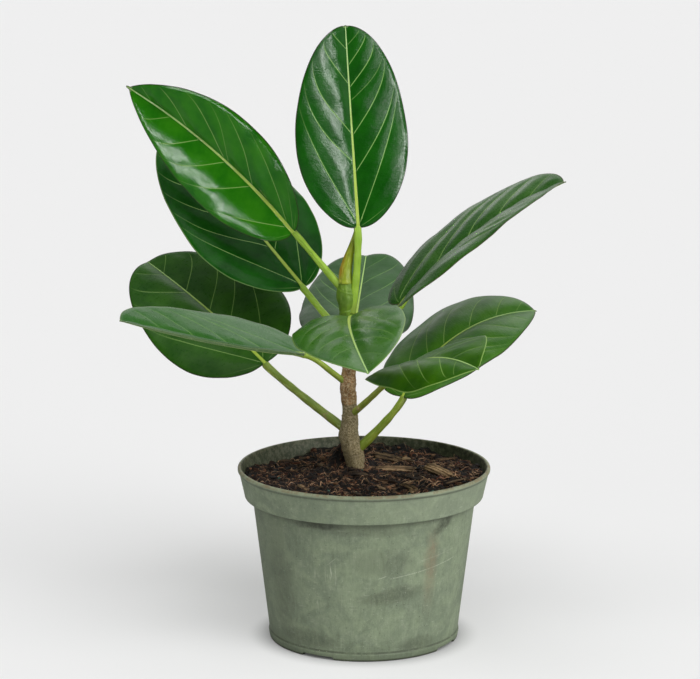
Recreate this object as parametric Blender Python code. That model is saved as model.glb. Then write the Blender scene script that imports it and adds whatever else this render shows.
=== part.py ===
# A young ficus with ten leathery leaves, in a round nursery pot filled with soil.
# Metres, +Z up, origin at the centre of the pot's underside; the plant's front faces -Y.

import math
import random

import bpy
from mathutils import Euler, Vector

MM = 0.001
GAP = 0.3 * MM  # clearance between pieces that touch

# Pot
POT_HEIGHT = 105.6 * MM
RIM_RADIUS = 76.0 * MM
BAND_TOP_RADIUS = 75.1 * MM
BAND_LOW_RADIUS = 71.9 * MM
BAND_LOW_Z = 88.0 * MM
WALL_TOP_RADIUS = 67.1 * MM
BASE_RADIUS = 57.2 * MM
BASE_STEP_Z = 5.0 * MM
BASE_STEP = 0.6 * MM
WALL = 1.6 * MM
LIP_Z = POT_HEIGHT - 2.8 * MM  # where the rolled lip starts
LIP_WIDTH = 2.4 * MM  # from the rim to the wall inside
EDGE = 0.6 * MM  # rounding of the lip and of the band's lower edge
CORNER = 1.5 * MM  # rounding between the wall and the floor, inside
FLOOR_Z = 2.2 * MM
FLOOR_THICKNESS = 1.8 * MM
FLOOR_TOP = FLOOR_Z + FLOOR_THICKNESS
INNER_LEDGE_Z = BAND_LOW_Z + 1.4 * MM  # where the band starts, inside
FOOT_WIDTH = 3.4 * MM
FOOT_EDGE = 0.8 * MM
PAD_RADIUS = 15.0 * MM
POT_SIDES = 48
NOTCH_ANGLES = [-119 + 90 * k for k in range(4)]  # degrees from +X
NOTCH_WIDTH = 21.0 * MM
NOTCH_HEIGHT = 2.0 * MM
NOTCH_DEPTH = 12.0 * MM
DRAIN_RADIUS = 4.2 * MM
DRAIN_CIRCLE = 43.0 * MM
DRAIN_COUNT = 8

# Soil
SOIL_Z = 101.0 * MM
SOIL_SIDES = 36
SOIL_RINGS = 9
SOIL_FLOOR = FLOOR_TOP + GAP
SOIL_CORNER_Z = 8.0 * MM
SOIL_CORNER = 2.0 * MM
SOIL_NECK_Z = INNER_LEDGE_Z - EDGE + GAP  # where the soil widens into the band
SOIL_LEDGE_Z = INNER_LEDGE_Z + EDGE
LUMPS = [(0.5, 0.21, 0.0, 1.0), (0.4, 0.37, -0.31, 0.0)]  # height in mm, waves along x and y, phase
HUMPS = [  # x, y, spread and height, in millimetres
    (-45, 40, 30, -6.0),
    (50, 45, 26, -2.5),
    (-11, 19, 11, 14.0),
    (-5, 2, 15, 1.5),
]
CHIP_COUNT = 40
CHIP_SEED = 13
CHIP_LENGTH = (9, 21)  # millimetres, like the next three
CHIP_WIDTH = (3, 6.5)
CHIP_THICKNESS = (1.6, 3.0)
CHIP_AWAY = (14, 60)  # from the pot's axis
CHIP_TILT = 0.16  # radians
CHIP_OUTLINE = [(-0.5, 0.5), (-0.15, 1.0), (0.25, 0.9), (0.5, 0.35)]  # shares of length and of width

# Stem, bottom to top: height, x, y and radius, all in millimetres
STEM = [
    (72, -5.0, 5.0, 4.6),
    (98, -5.0, 5.0, 5.0),
    (107, -5.9, 5.0, 5.2),
    (114, -7.1, 5.0, 6.0),
    (120, -8.1, 5.0, 5.9),
    (126, -8.8, 5.0, 5.3),
    (138, -8.7, 5.0, 4.6),
    (151, -9.1, 5.0, 4.3),
    (164, -9.2, 5.0, 4.1),
    (176, -9.6, 5.0, 4.2),
    (190, -10.1, 5.0, 4.1),
    (200, -10.3, 5.0, 4.4),
    (208, -10.6, 5.0, 5.2),
    (216, -11.0, 5.5, 4.2),
    (223, -11.0, 6.5, 3.8),
    (231, -9.3, 7.5, 3.0),
    (239, -7.0, 8.3, 1.9),
    (246, -5.2, 8.8, 1.1),
    (250, -4.5, 9.0, 0.6),
]
TRUNK_TOP = 178 * MM
SHOOT_TOP = 216 * MM
STEM_SIDES = 14

# Leaves, in millimetres and degrees.
# base: where the blade starts. node: height of the petiole on the stem. beside: how far from the stem's
# middle it starts. exit: its slope there. stalk: its radius there and at the blade.
# heading and rise: the midrib's direction at the base; over the blade's length it turns by sweep and droops
# by droop. roll and twist turn the blade about its midrib. fold lifts each half (left, right) from the
# midrib, and curl bends it down again. uneven: how much wider the right half is. widest: where the blade is
# widest, from 0 to 1. tip and heel: 0.5 is an ellipse's end, more is pointed. lobe: how far the base's
# corners reach back. wave and phase: the margin's waves. drip: length of the little point at the tip.
LEAVES = {
    "top": dict(
        base=(-3.5, 3, 250), node=198, beside=(2.5, -1.5), exit=78, stalk=(2.6, 2.2),
        heading=109, rise=78.5, sweep=8, droop=-4, roll=-7, twist=5,
        length=119.5, width=69.5, fold=(14, 16), curl=(23, 20), uneven=-0.03,
        widest=0.43, tip=0.5, heel=0.58, lobe=1.8, wave=0.5, phase=0.3, drip=0.6),
    "upper_left": dict(
        base=(-42.5, 20.5, 244), node=210, beside=(0, 0), exit=42, stalk=(2.4, 1.9),
        heading=145.5, rise=42, sweep=6, droop=17, roll=-79, twist=-11,
        length=145, width=63.5, fold=(16, 21), curl=(23, 17), uneven=0,
        widest=0.42, tip=0.88, heel=0.56, lobe=2.6, wave=0.5, phase=1.1, drip=2.4),
    "back_left": dict(
        base=(-37, 39, 207.5), node=180, beside=(0, 0), exit=30, stalk=(2.4, 2.0),
        heading=137, rise=37.5, sweep=3, droop=-2, roll=-27, twist=-6,
        length=141, width=78.5, fold=(6.5, 6.5), curl=(13, 17), uneven=-0.02,
        widest=0.4, tip=0.46, heel=0.6, lobe=2.7, wave=0.6, phase=2.0, drip=1.2),
    "left": dict(
        base=(-60.5, 39, 160), node=124.5, beside=(0, 0), exit=27, stalk=(2.9, 2.3),
        heading=128.5, rise=24.5, sweep=8, droop=3.5, roll=-32, twist=13.5,
        length=125, width=85, fold=(6, 8), curl=(23, 7), uneven=0,
        widest=0.4, tip=0.45, heel=0.5, lobe=2.5, wave=0.6, phase=0.5, drip=0.6),
    "front_left": dict(
        base=(-36, -4.5, 175.5), node=154.5, beside=(0, 0), exit=30, stalk=(2.1, 1.8),
        heading=189, rise=6.5, sweep=4, droop=-12, roll=-4, twist=-1.5,
        length=112, width=72.5, fold=(15, 15), curl=(1, 4.5), uneven=0,
        widest=0.4, tip=0.42, heel=0.5, lobe=2.6, wave=0.3, phase=2.6, drip=0.6),
    "front": dict(
        base=(-8, -44.5, 206), node=172, beside=(0, 0), exit=38, stalk=(2.3, 1.9),
        heading=266.5, rise=6.5, sweep=17.5, droop=22.5, roll=11.5, twist=-2.5,
        length=112.5, width=65.5, fold=(16, 14), curl=(22, 24), uneven=0.02,
        widest=0.43, tip=0.66, heel=0.49, lobe=5, wave=0.8, phase=1.6, drip=0.8),
    "back": dict(
        base=(-7, 60, 171), node=148, beside=(0, 0), exit=25, stalk=(2.3, 1.9),
        heading=87, rise=9.5, sweep=-2, droop=-11, roll=3.5, twist=-7.5,
        length=124, width=73.5, fold=(6.5, 5.5), curl=(26, 24), uneven=-0.02,
        widest=0.4, tip=0.32, heel=0.36, lobe=4.4, wave=0.6, phase=0.9, drip=0.6),
    "upper_right": dict(
        base=(21.5, 19.5, 200.5), node=178, beside=(0, 0), exit=32, stalk=(2.3, 1.9),
        heading=17.5, rise=48.5, sweep=-21.5, droop=24.5, roll=-4, twist=10.5,
        length=124.5, width=76, fold=(18, 20), curl=(18, 32), uneven=0.03,
        widest=0.42, tip=0.42, heel=0.5, lobe=9, wave=0.5, phase=2.2, drip=1.6),
    "right": dict(
        base=(23, 10, 145.5), node=111, beside=(0, 0), exit=43, stalk=(2.9, 2.2),
        heading=42, rise=51.5, sweep=-19.5, droop=55, roll=6, twist=20,
        length=111, width=81.5, fold=(9, 13), curl=(50, 27), uneven=-0.1,
        widest=0.44, tip=0.77, heel=0.51, lobe=3, wave=0.6, phase=1.3, drip=1.6),
    "front_right": dict(
        base=(15, -22, 164.5), node=134.5, beside=(0, 0), exit=35, stalk=(2.2, 1.8),
        heading=-58, rise=35.5, sweep=0, droop=44, roll=-0.5, twist=37,
        length=97.5, width=63.5, fold=(12.5, 16), curl=(37, 54), uneven=0.04,
        widest=0.53, tip=0.8, heel=0.37, lobe=5, wave=0.4, phase=0.1, drip=0.8),
}
BLADE_THICKNESS = 0.8 * MM
MIDRIB_DEPTH = 1.9 * MM  # how far the midrib stands out below the blade, at the base
MIDRIB_HALF_WIDTH = 1.9 * MM
TIP_HALF_WIDTH = 0.7 * MM
BLADE_CELLS = 20  # along the blade
HALF_CELLS = 4  # across each half
WAVE_COUNT = 3.0
MIDRIB_STEPS = 60
PETIOLE_SIDES = 8
PETIOLE_STEPS = 10


def clear_scene():
    for obj in list(bpy.data.objects):
        bpy.data.objects.remove(obj, do_unlink=True)


def material(name, color, roughness, metallic=0.0):
    mat = bpy.data.materials.new(name)
    mat.use_nodes = True
    shader = mat.node_tree.nodes["Principled BSDF"]
    shader.inputs["Base Color"].default_value = (*color, 1.0)
    shader.inputs["Roughness"].default_value = roughness
    shader.inputs["Metallic"].default_value = metallic
    mat.diffuse_color = (*color, 1.0)
    return mat


def add_mesh(name, verts, faces, mat=None, smooth=True):
    mesh = bpy.data.meshes.new(name)
    mesh.from_pydata([tuple(v) for v in verts], [], faces)
    mesh.update()
    if mat:
        mesh.materials.append(mat)
    if smooth:
        mesh.shade_smooth()
    obj = bpy.data.objects.new(name, mesh)
    bpy.context.scene.collection.objects.link(obj)
    return obj


def as_cutter(obj):
    obj.hide_render = True
    obj.display_type = "WIRE"
    return obj


def apply_modifiers(obj):
    """Replace the object's mesh with what its modifiers make of it."""
    bpy.context.view_layer.update()
    evaluated = obj.evaluated_get(bpy.context.evaluated_depsgraph_get())
    mesh = bpy.data.meshes.new_from_object(evaluated)
    obj.modifiers.clear()
    obj.data = mesh


def subtract(obj, cutter, solver="EXACT"):
    cut = obj.modifiers.new("cut", "BOOLEAN")
    cut.operation = "DIFFERENCE"
    cut.object = cutter
    cut.solver = solver


def turned(name, profile, sides, mat):
    """A closed profile of (radius, z) points, outer side upwards, turned about Z."""
    rings = []
    verts = []
    for radius, z in profile:
        if radius == 0:
            rings.append([len(verts)] * sides)
            verts.append((0, 0, z))
            continue
        rings.append(list(range(len(verts), len(verts) + sides)))
        for k in range(sides):
            turn = 2 * math.pi * k / sides
            verts.append((radius * math.cos(turn), radius * math.sin(turn), z))
    faces = []
    for low, high in zip(rings, rings[1:]):
        for k in range(sides):
            n = (k + 1) % sides
            corners = [low[k], low[n], high[n], high[k]]
            faces.append([c for i, c in enumerate(corners) if c not in corners[:i]])
    return add_mesh(name, verts, faces, mat)


def tube(name, points, radii, sides, mat, level=False):
    """A round bar along points, with flat ends. Its rings lie square to it, or level."""
    verts = []
    ahead = Vector((0, 0, 1)) if level else (points[1] - points[0]).normalized()
    side = ahead.orthogonal().normalized()
    for i, point in enumerate(points):
        before = points[max(i - 1, 0)]
        after = points[min(i + 1, len(points) - 1)]
        turned_ahead = ahead if level else (after - before).normalized()
        side.rotate(ahead.rotation_difference(turned_ahead))
        ahead = turned_ahead
        other = ahead.cross(side)
        for k in range(sides):
            turn = 2 * math.pi * k / sides
            verts.append(point + (side * math.cos(turn) + other * math.sin(turn)) * radii[i])
    faces = []
    for i in range(len(points) - 1):
        for k in range(sides):
            n = (k + 1) % sides
            a, b = i * sides, (i + 1) * sides
            faces.append([a + k, a + n, b + n, b + k])
    last = (len(points) - 1) * sides
    faces.append(list(range(sides))[::-1])
    faces.append([last + k for k in range(sides)])
    return add_mesh(name, verts, faces, mat)


def wall_radius(z):
    """The pot wall's outer radius at a height below the band."""
    share = (z - BASE_STEP_Z) / (BAND_LOW_Z - BASE_STEP_Z)
    return BASE_RADIUS + share * (WALL_TOP_RADIUS - BASE_RADIUS)


def band_radius(z):
    share = (z - BAND_LOW_Z) / (POT_HEIGHT - BAND_LOW_Z)
    return BAND_LOW_RADIUS + share * (BAND_TOP_RADIUS - BAND_LOW_RADIUS)


def pot_profile():
    middle_z = (BASE_STEP_Z + BAND_LOW_Z) / 2
    outside = [
        (0, 0),
        (PAD_RADIUS, 0),
        (PAD_RADIUS + FLOOR_Z, FLOOR_Z),
        (BASE_RADIUS - FOOT_WIDTH - FLOOR_Z / 2, FLOOR_Z),
        (BASE_RADIUS - FOOT_WIDTH, 0),
        (BASE_RADIUS - 1.5 * FOOT_EDGE, 0),
        (BASE_RADIUS - FOOT_EDGE / 2, FOOT_EDGE),
        (BASE_RADIUS + BASE_STEP, BASE_STEP_Z - BASE_STEP),
        (wall_radius(BASE_STEP_Z), BASE_STEP_Z),
        (wall_radius(middle_z), middle_z),
        (WALL_TOP_RADIUS, BAND_LOW_Z - EDGE),
        (BAND_LOW_RADIUS - EDGE, BAND_LOW_Z - EDGE),
        (BAND_LOW_RADIUS, BAND_LOW_Z),
        (band_radius(LIP_Z), LIP_Z),
    ]
    lip = [
        (RIM_RADIUS, LIP_Z + EDGE),
        (RIM_RADIUS, POT_HEIGHT - EDGE),
        (RIM_RADIUS - EDGE, POT_HEIGHT),
        (RIM_RADIUS - WALL, POT_HEIGHT),
        (RIM_RADIUS - LIP_WIDTH, POT_HEIGHT - 2 * EDGE),
    ]
    inside = [
        (BAND_LOW_RADIUS - WALL, INNER_LEDGE_Z),
        (WALL_TOP_RADIUS - WALL, INNER_LEDGE_Z - EDGE),
        (BASE_RADIUS - WALL, FLOOR_TOP + CORNER),
        (BASE_RADIUS - WALL - CORNER, FLOOR_TOP),
        (0, FLOOR_TOP),
    ]
    return outside + lip + inside


def make_pot(mat):
    pot = turned("pot", pot_profile(), POT_SIDES, mat)
    for number, angle in enumerate(NOTCH_ANGLES):
        subtract(pot, notch_cutter(number, angle))
    for k in range(DRAIN_COUNT):
        angle = NOTCH_ANGLES[0] + 360 * k / DRAIN_COUNT
        subtract(pot, drain_cutter(k, angle))
    apply_modifiers(pot)
    remove_cutters()
    pot.data.set_sharp_from_angle(angle=math.radians(30))
    return pot


def notch_cutter(number, angle):
    bpy.ops.mesh.primitive_cube_add(size=1)
    box = bpy.context.object
    box.name = f"notch_cutter_{number}"
    box.scale = (NOTCH_DEPTH, NOTCH_WIDTH, 2 * NOTCH_HEIGHT)
    turn = math.radians(angle)
    box.rotation_euler = (0, 0, turn)
    box.location = (BASE_RADIUS * math.cos(turn), BASE_RADIUS * math.sin(turn), 0)
    return as_cutter(box)


def drain_cutter(number, angle):
    turn = math.radians(angle)
    bpy.ops.mesh.primitive_cylinder_add(
        vertices=12, radius=DRAIN_RADIUS, depth=4 * FLOOR_TOP,
        location=(DRAIN_CIRCLE * math.cos(turn), DRAIN_CIRCLE * math.sin(turn), 0))
    drain = bpy.context.object
    drain.name = f"drain_cutter_{number}"
    return as_cutter(drain)


def remove_cutters():
    for obj in list(bpy.data.objects):
        if "cutter" in obj.name:
            bpy.data.objects.remove(obj, do_unlink=True)


def soil_height(x, y):
    """The soil's surface: low at the back left, heaped behind the trunk, lumpy all over."""
    x, y = x / MM, y / MM
    height = SOIL_Z / MM
    for size, along_x, along_y, phase in LUMPS:
        height += size * math.sin(along_x * x + along_y * y + phase)
    for at_x, at_y, spread, size in HUMPS:
        height += size * math.exp(-((x - at_x) ** 2 + (y - at_y) ** 2) / spread ** 2)
    return height * MM


def inner_radius(z):
    """The pot's inner radius at a height, less the clearance."""
    if z > INNER_LEDGE_Z:
        bottom, top = INNER_LEDGE_Z, POT_HEIGHT - 2 * EDGE
        low, high = BAND_LOW_RADIUS - WALL, RIM_RADIUS - LIP_WIDTH
    else:
        bottom, top = FLOOR_TOP + CORNER, INNER_LEDGE_Z - EDGE
        low, high = BASE_RADIUS - WALL, WALL_TOP_RADIUS - WALL
    return low + (high - low) * (z - bottom) / (top - bottom) - 1.6 * GAP


def soil_ring(radius, z=None):
    ring = []
    for k in range(SOIL_SIDES):
        turn = 2 * math.pi * k / SOIL_SIDES
        x, y = radius * math.cos(turn), radius * math.sin(turn)
        ring.append((x, y, soil_height(x, y) if z is None else z))
    return ring


def make_soil(mat):
    rings = [
        soil_ring(inner_radius(SOIL_CORNER_Z) - SOIL_CORNER, SOIL_FLOOR),
        soil_ring(inner_radius(SOIL_CORNER_Z), SOIL_CORNER_Z),
        soil_ring(inner_radius(SOIL_NECK_Z), SOIL_NECK_Z),
        soil_ring(inner_radius(SOIL_LEDGE_Z) - EDGE, SOIL_LEDGE_Z),
    ]
    top_radius = inner_radius(SOIL_LEDGE_Z)
    for k in range(SOIL_RINGS):
        rings.append(soil_ring(top_radius * (1 - k / SOIL_RINGS)))
    verts = [p for ring in rings for p in ring]
    faces = [list(range(SOIL_SIDES))[::-1]]
    for i in range(len(rings) - 1):
        for k in range(SOIL_SIDES):
            n = (k + 1) % SOIL_SIDES
            a, b = i * SOIL_SIDES, (i + 1) * SOIL_SIDES
            faces.append([a + k, a + n, b + n])
            faces.append([a + k, b + n, b + k])
    last = (len(rings) - 1) * SOIL_SIDES
    verts.append((0, 0, soil_height(0, 0)))
    for k in range(SOIL_SIDES):
        faces.append([last + k, last + (k + 1) % SOIL_SIDES, len(verts) - 1])
    return add_mesh("soil", verts, faces, mat)


def bark_chip(draw):
    """One flat splinter of bark, lying on the soil with its root sunk in."""
    length = draw.uniform(*CHIP_LENGTH) * MM
    width = draw.uniform(*CHIP_WIDTH) * MM
    thick = draw.uniform(*CHIP_THICKNESS) * MM
    away = draw.uniform(*CHIP_AWAY) * MM
    turn = draw.uniform(0, 2 * math.pi)
    lie = Euler((0, -draw.uniform(-CHIP_TILT, CHIP_TILT), draw.uniform(0, math.pi)))
    x, y = away * math.cos(turn), away * math.sin(turn)
    place = Vector((x, y, soil_height(x, y)))
    verts = []
    for end, share in CHIP_OUTLINE:
        for side in (-0.5, 0.5):
            for top in (-1.0, 0.75):
                corner = Vector((end * length, side * share * width, top * thick * (0.7 + 0.3 * share)))
                corner.rotate(lie)
                verts.append(place + corner)
    faces = [[0, 1, 3, 2]]
    for k in range(0, 12, 4):
        faces.append([k + 1, k + 0, k + 4, k + 5])
        faces.append([k + 3, k + 1, k + 5, k + 7])
        faces.append([k + 2, k + 3, k + 7, k + 6])
        faces.append([k + 0, k + 2, k + 6, k + 4])
    faces.append([12, 14, 15, 13])
    return verts, faces


def scatter_chips(soil):
    """Bark chips over the soil, joined to it by one union."""
    draw = random.Random(CHIP_SEED)
    chips = bpy.data.collections.new("chips")
    bpy.context.scene.collection.children.link(chips)
    for number in range(CHIP_COUNT):
        verts, faces = bark_chip(draw)
        chip = add_mesh(f"chip_{number}", verts, faces)
        bpy.context.scene.collection.objects.unlink(chip)
        chips.objects.link(chip)
    join = soil.modifiers.new("chips", "BOOLEAN")
    join.operation = "UNION"
    join.operand_type = "COLLECTION"
    join.collection = chips
    join.solver = "MANIFOLD"
    apply_modifiers(soil)
    for chip in list(chips.objects):
        bpy.data.objects.remove(chip, do_unlink=True)
    bpy.data.collections.remove(chips)


def stem_at(z):
    """Centre and radius of the stem at a height in metres."""
    z = z / MM
    for low, high in zip(STEM, STEM[1:]):
        if z <= high[0]:
            share = (z - low[0]) / (high[0] - low[0])
            x, y, radius = (a + (b - a) * share for a, b in zip(low[1:], high[1:]))
            return Vector((x, y, z)) * MM, radius * MM
    return Vector((STEM[-1][1], STEM[-1][2], STEM[-1][0])) * MM, STEM[-1][3] * MM


def make_stem(name, bottom, top, mat, grow=0.0):
    heights = [bottom] + [row[0] * MM for row in STEM if bottom < row[0] * MM < top] + [top]
    places = [stem_at(z) for z in heights]
    return tube(name, [p for p, _ in places], [r + grow for _, r in places], STEM_SIDES, mat, level=True)


def direction(heading, rise):
    heading, rise = math.radians(heading), math.radians(rise)
    return Vector((
        math.cos(rise) * math.cos(heading),
        math.cos(rise) * math.sin(heading),
        math.sin(rise)))


def midrib_path(leaf):
    """The midrib's points, summed step by step from the base to the tip."""
    point = Vector(leaf["base"]) * MM
    points = [point.copy()]
    for k in range(MIDRIB_STEPS):
        t = (k + 0.5) / MIDRIB_STEPS
        step = direction(leaf["heading"] + leaf["sweep"] * t, leaf["rise"] - leaf["droop"] * t)
        point += step * (leaf["length"] * MM / MIDRIB_STEPS)
        points.append(point.copy())
    return points


def blade_axes(leaf, t):
    """Along the midrib, to the blade's left and up out of its top face, at a share t of its length."""
    t = min(max(t, 0), 1)
    heading = leaf["heading"] + leaf["sweep"] * t
    ahead = direction(heading, leaf["rise"] - leaf["droop"] * t)
    left = direction(heading + 90, 0)
    up = ahead.cross(left)
    roll = math.radians(leaf["roll"] + leaf["twist"] * t)
    return ahead, left * math.cos(roll) + up * math.sin(roll), up * math.cos(roll) - left * math.sin(roll)


def on_midrib(leaf, path, t):
    ahead = blade_axes(leaf, t)[0]
    inside = min(max(t, 0), 1)
    place = inside * MIDRIB_STEPS
    k = min(int(place), MIDRIB_STEPS - 1)
    point = path[k].lerp(path[k + 1], place - k)
    return point + ahead * ((t - inside) * leaf["length"] * MM)


def station(leaf, sweep_angle):
    """Share of the length, half width and lobe, at an angle from 0 at the base to pi at the tip."""
    widest = leaf["widest"]
    cosine = math.cos(sweep_angle)
    if sweep_angle < math.pi / 2:
        t = widest * (1 - cosine)
        power = 2 * leaf["heel"]
    else:
        t = widest - (1 - widest) * cosine
        power = 2 * leaf["tip"]
    sine = max(math.sin(sweep_angle), 0)
    half = leaf["width"] / 2 * MM * sine ** power
    reach = 2.6 * leaf["lobe"] * MM * sine * math.exp(-(sweep_angle / 0.55) ** 2)
    return t, half, reach


def rise_from_rib(leaf, side, across):
    """Distance out and height of a point on the folded and curled half, across from the midrib."""
    which = 0 if side > 0 else 1
    fold = math.radians(leaf["fold"][which])
    bend = math.radians(leaf["curl"][which]) / (leaf["width"] / 2 * MM)
    out = (math.sin(fold) - math.sin(fold - bend * across)) / bend
    height = (math.cos(fold - bend * across) - math.cos(fold)) / bend
    return out, height


def blade_rows(leaf):
    """Rows of (top point, bottom point), from the base to the drip tip, each from left to right."""
    path = midrib_path(leaf)
    rows = []
    for i in range(BLADE_CELLS + 2):
        at_tip = i > BLADE_CELLS
        t, half, reach = station(leaf, math.pi * min(i / BLADE_CELLS, 1))
        slim = 1 - 0.8 * min(t, 1)
        rib = MIDRIB_HALF_WIDTH * slim
        half = max(half, rib if t < 0.5 else TIP_HALF_WIDTH)
        if at_tip:
            t += leaf["drip"] / leaf["length"]
            half = TIP_HALF_WIDTH * 0.6
        rib = min(rib, 0.4 * half)
        row = []
        for j in range(-HALF_CELLS, HALF_CELLS + 1):
            share = abs(j) / HALF_CELLS
            side = 1 if j < 0 else -1
            reach_out = half * (1 - side * leaf["uneven"])
            across = 0 if j == 0 else rib + (reach_out - rib) * (abs(j) - 1) / (HALF_CELLS - 1)
            at = t - reach * share / (leaf["length"] * MM)
            ahead, left, up = blade_axes(leaf, at)
            out, height = rise_from_rib(leaf, side, across)
            edge = (across / (leaf["width"] / 2 * MM)) ** 3
            wave = math.sin(2 * math.pi * WAVE_COUNT * t + leaf["phase"] + side)
            height += leaf["wave"] * MM * edge * wave
            middle = on_midrib(leaf, path, at) + left * side * out + up * height
            ridge = MIDRIB_DEPTH * slim if j == 0 else 0
            row.append((
                middle + up * BLADE_THICKNESS / 2,
                middle - up * (BLADE_THICKNESS / 2 + ridge)))
        rows.append(row)
    return rows


def make_blade(name, leaf, mat):
    """A closed sheet: two faces split into triangles alike, and a rim between them."""
    rows = blade_rows(leaf)
    width = len(rows[0])
    count = len(rows) * width
    verts = [top for row in rows for top, _ in row] + [low for row in rows for _, low in row]
    faces = []
    for i in range(len(rows) - 1):
        for j in range(width - 1):
            a, b = i * width + j, i * width + j + 1
            c, d = a + width, b + width
            if j < width // 2:
                halves = [(a, b, c), (b, d, c)]
            else:
                halves = [(a, b, d), (a, d, c)]
            for p, q, r in halves:
                faces.append((p, q, r))
                faces.append((r + count, q + count, p + count))
    last = (len(rows) - 1) * width
    around = list(range(width))
    around += [i * width + width - 1 for i in range(1, len(rows))]
    around += list(range(last, last + width - 1))[::-1]
    around += [i * width for i in range(1, len(rows) - 1)][::-1]
    for k, a in enumerate(around):
        b = around[(k + 1) % len(around)]
        faces.append((b, a, a + count))
        faces.append((b, a + count, b + count))
    blade = add_mesh(name, verts, faces, mat)
    blade.data.set_sharp_from_angle(angle=math.radians(60))
    return blade


def petiole_path(leaf):
    """A smooth curve from the stem's middle to the blade's base."""
    ahead, _, up = blade_axes(leaf, 0)
    thick = leaf["stalk"][1] * MM
    end = Vector(leaf["base"]) * MM - up * (thick - BLADE_THICKNESS / 2) - ahead * GAP
    start = stem_at(leaf["node"] * MM)[0] + Vector((*leaf["beside"], 0)) * MM
    reach = (end - start).length
    flat = end - start
    heading = math.degrees(math.atan2(flat.y, flat.x))
    leave = start + direction(heading, leaf["exit"]) * reach * 0.33
    arrive = end - ahead * reach * 0.25
    points = []
    for k in range(PETIOLE_STEPS + 1):
        t = k / PETIOLE_STEPS
        s = 1 - t
        points.append(start * s ** 3 + leave * 3 * s * s * t + arrive * 3 * s * t * t + end * t ** 3)
    return points


def make_petiole(name, leaf, clearance, mat):
    points = petiole_path(leaf)
    thick, thin = leaf["stalk"]
    radii = []
    for k in range(len(points)):
        share = k / (len(points) - 1)
        radii.append((thin + (thick - thin) * (1 - share) ** 2) * MM)
    petiole = tube(name, points, radii, PETIOLE_SIDES, mat)
    subtract(petiole, clearance)
    apply_modifiers(petiole)
    return petiole


def main():
    clear_scene()
    pot_green = material("pot_green", (0.16, 0.21, 0.15), 0.55)
    soil_brown = material("soil_brown", (0.035, 0.022, 0.016), 0.9)
    bark = material("bark", (0.20, 0.15, 0.10), 0.8)
    shoot_green = material("shoot_green", (0.22, 0.33, 0.05), 0.45)
    bud_green = material("bud_green", (0.36, 0.36, 0.04), 0.45)
    make_pot(pot_green)
    soil = make_soil(soil_brown)
    scatter_chips(soil)
    stem_low, stem_high = STEM[0][0] * MM, STEM[-1][0] * MM
    clearance = make_stem("stem_cutter", stem_low - GAP, stem_high, None, grow=GAP)
    as_cutter(clearance)
    subtract(soil, clearance, "MANIFOLD")
    apply_modifiers(soil)
    make_stem("trunk", stem_low, TRUNK_TOP - GAP, bark)
    make_stem("shoot", TRUNK_TOP, SHOOT_TOP - GAP, shoot_green)
    make_stem("bud_sheath", SHOOT_TOP, stem_high, bud_green)
    for place, leaf in LEAVES.items():
        green = material(f"{place}_green", (0.03, 0.13, 0.02), 0.3)
        stalk_green = material(f"{place}_stalk", (0.25, 0.36, 0.05), 0.4)
        make_blade(f"leaf_{place}_blade", leaf, green)
        make_petiole(f"leaf_{place}_petiole", leaf, clearance, stalk_green)
    remove_cutters()


main()
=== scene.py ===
# The looks of a young ficus in a nursery pot: leaves, stem, soil and pot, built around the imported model.
# Metres, +Z up, the plant's front towards -Y. The dictionaries hold millimetres and degrees.

import math
import random

import bmesh
import bpy
import numpy as np
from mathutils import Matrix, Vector, noise


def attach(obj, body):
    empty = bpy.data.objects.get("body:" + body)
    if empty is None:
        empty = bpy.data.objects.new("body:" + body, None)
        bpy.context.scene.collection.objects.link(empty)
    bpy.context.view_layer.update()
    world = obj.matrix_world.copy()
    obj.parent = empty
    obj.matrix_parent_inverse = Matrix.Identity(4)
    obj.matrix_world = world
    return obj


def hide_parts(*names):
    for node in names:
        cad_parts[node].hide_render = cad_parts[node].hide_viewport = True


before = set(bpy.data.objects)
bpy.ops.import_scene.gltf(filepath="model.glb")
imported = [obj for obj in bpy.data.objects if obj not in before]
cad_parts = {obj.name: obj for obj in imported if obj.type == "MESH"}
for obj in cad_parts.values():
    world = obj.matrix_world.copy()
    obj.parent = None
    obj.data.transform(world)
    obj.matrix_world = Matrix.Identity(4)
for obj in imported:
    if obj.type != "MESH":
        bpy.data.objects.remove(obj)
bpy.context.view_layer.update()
mm = 0.001
print("stage: frame loaded")


class Wire:
    # One output socket. The operators add Math nodes, so shader maths reads as Python.
    def __init__(self, nodes, socket):
        self.nodes = nodes
        self.socket = socket

    def math(self, operation, *values):
        return self.nodes.add("Math", dict(operation=operation), (self, *values))

    def __add__(self, other):
        return self.math("ADD", other)

    __radd__ = __add__

    def __mul__(self, other):
        return self.math("MULTIPLY", other)

    __rmul__ = __mul__

    def __sub__(self, other):
        return self.math("SUBTRACT", other)

    def __rsub__(self, other):
        return self.nodes.add("Math", dict(operation="SUBTRACT"), (other, self))

    def __truediv__(self, other):
        return self.math("DIVIDE", other)

    def __pow__(self, other):
        return self.math("POWER", other)

    def __abs__(self):
        return self.math("ABSOLUTE")

    def rising(self, low, high):  # 0 below low, 1 above high, smooth between
        settings = dict(interpolation_type="SMOOTHSTEP")
        return self.nodes.add("MapRange", settings, {"Value": self, "From Min": low, "From Max": high})

    def falling(self, low, high):
        return 1 - self.rising(low, high)


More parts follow.
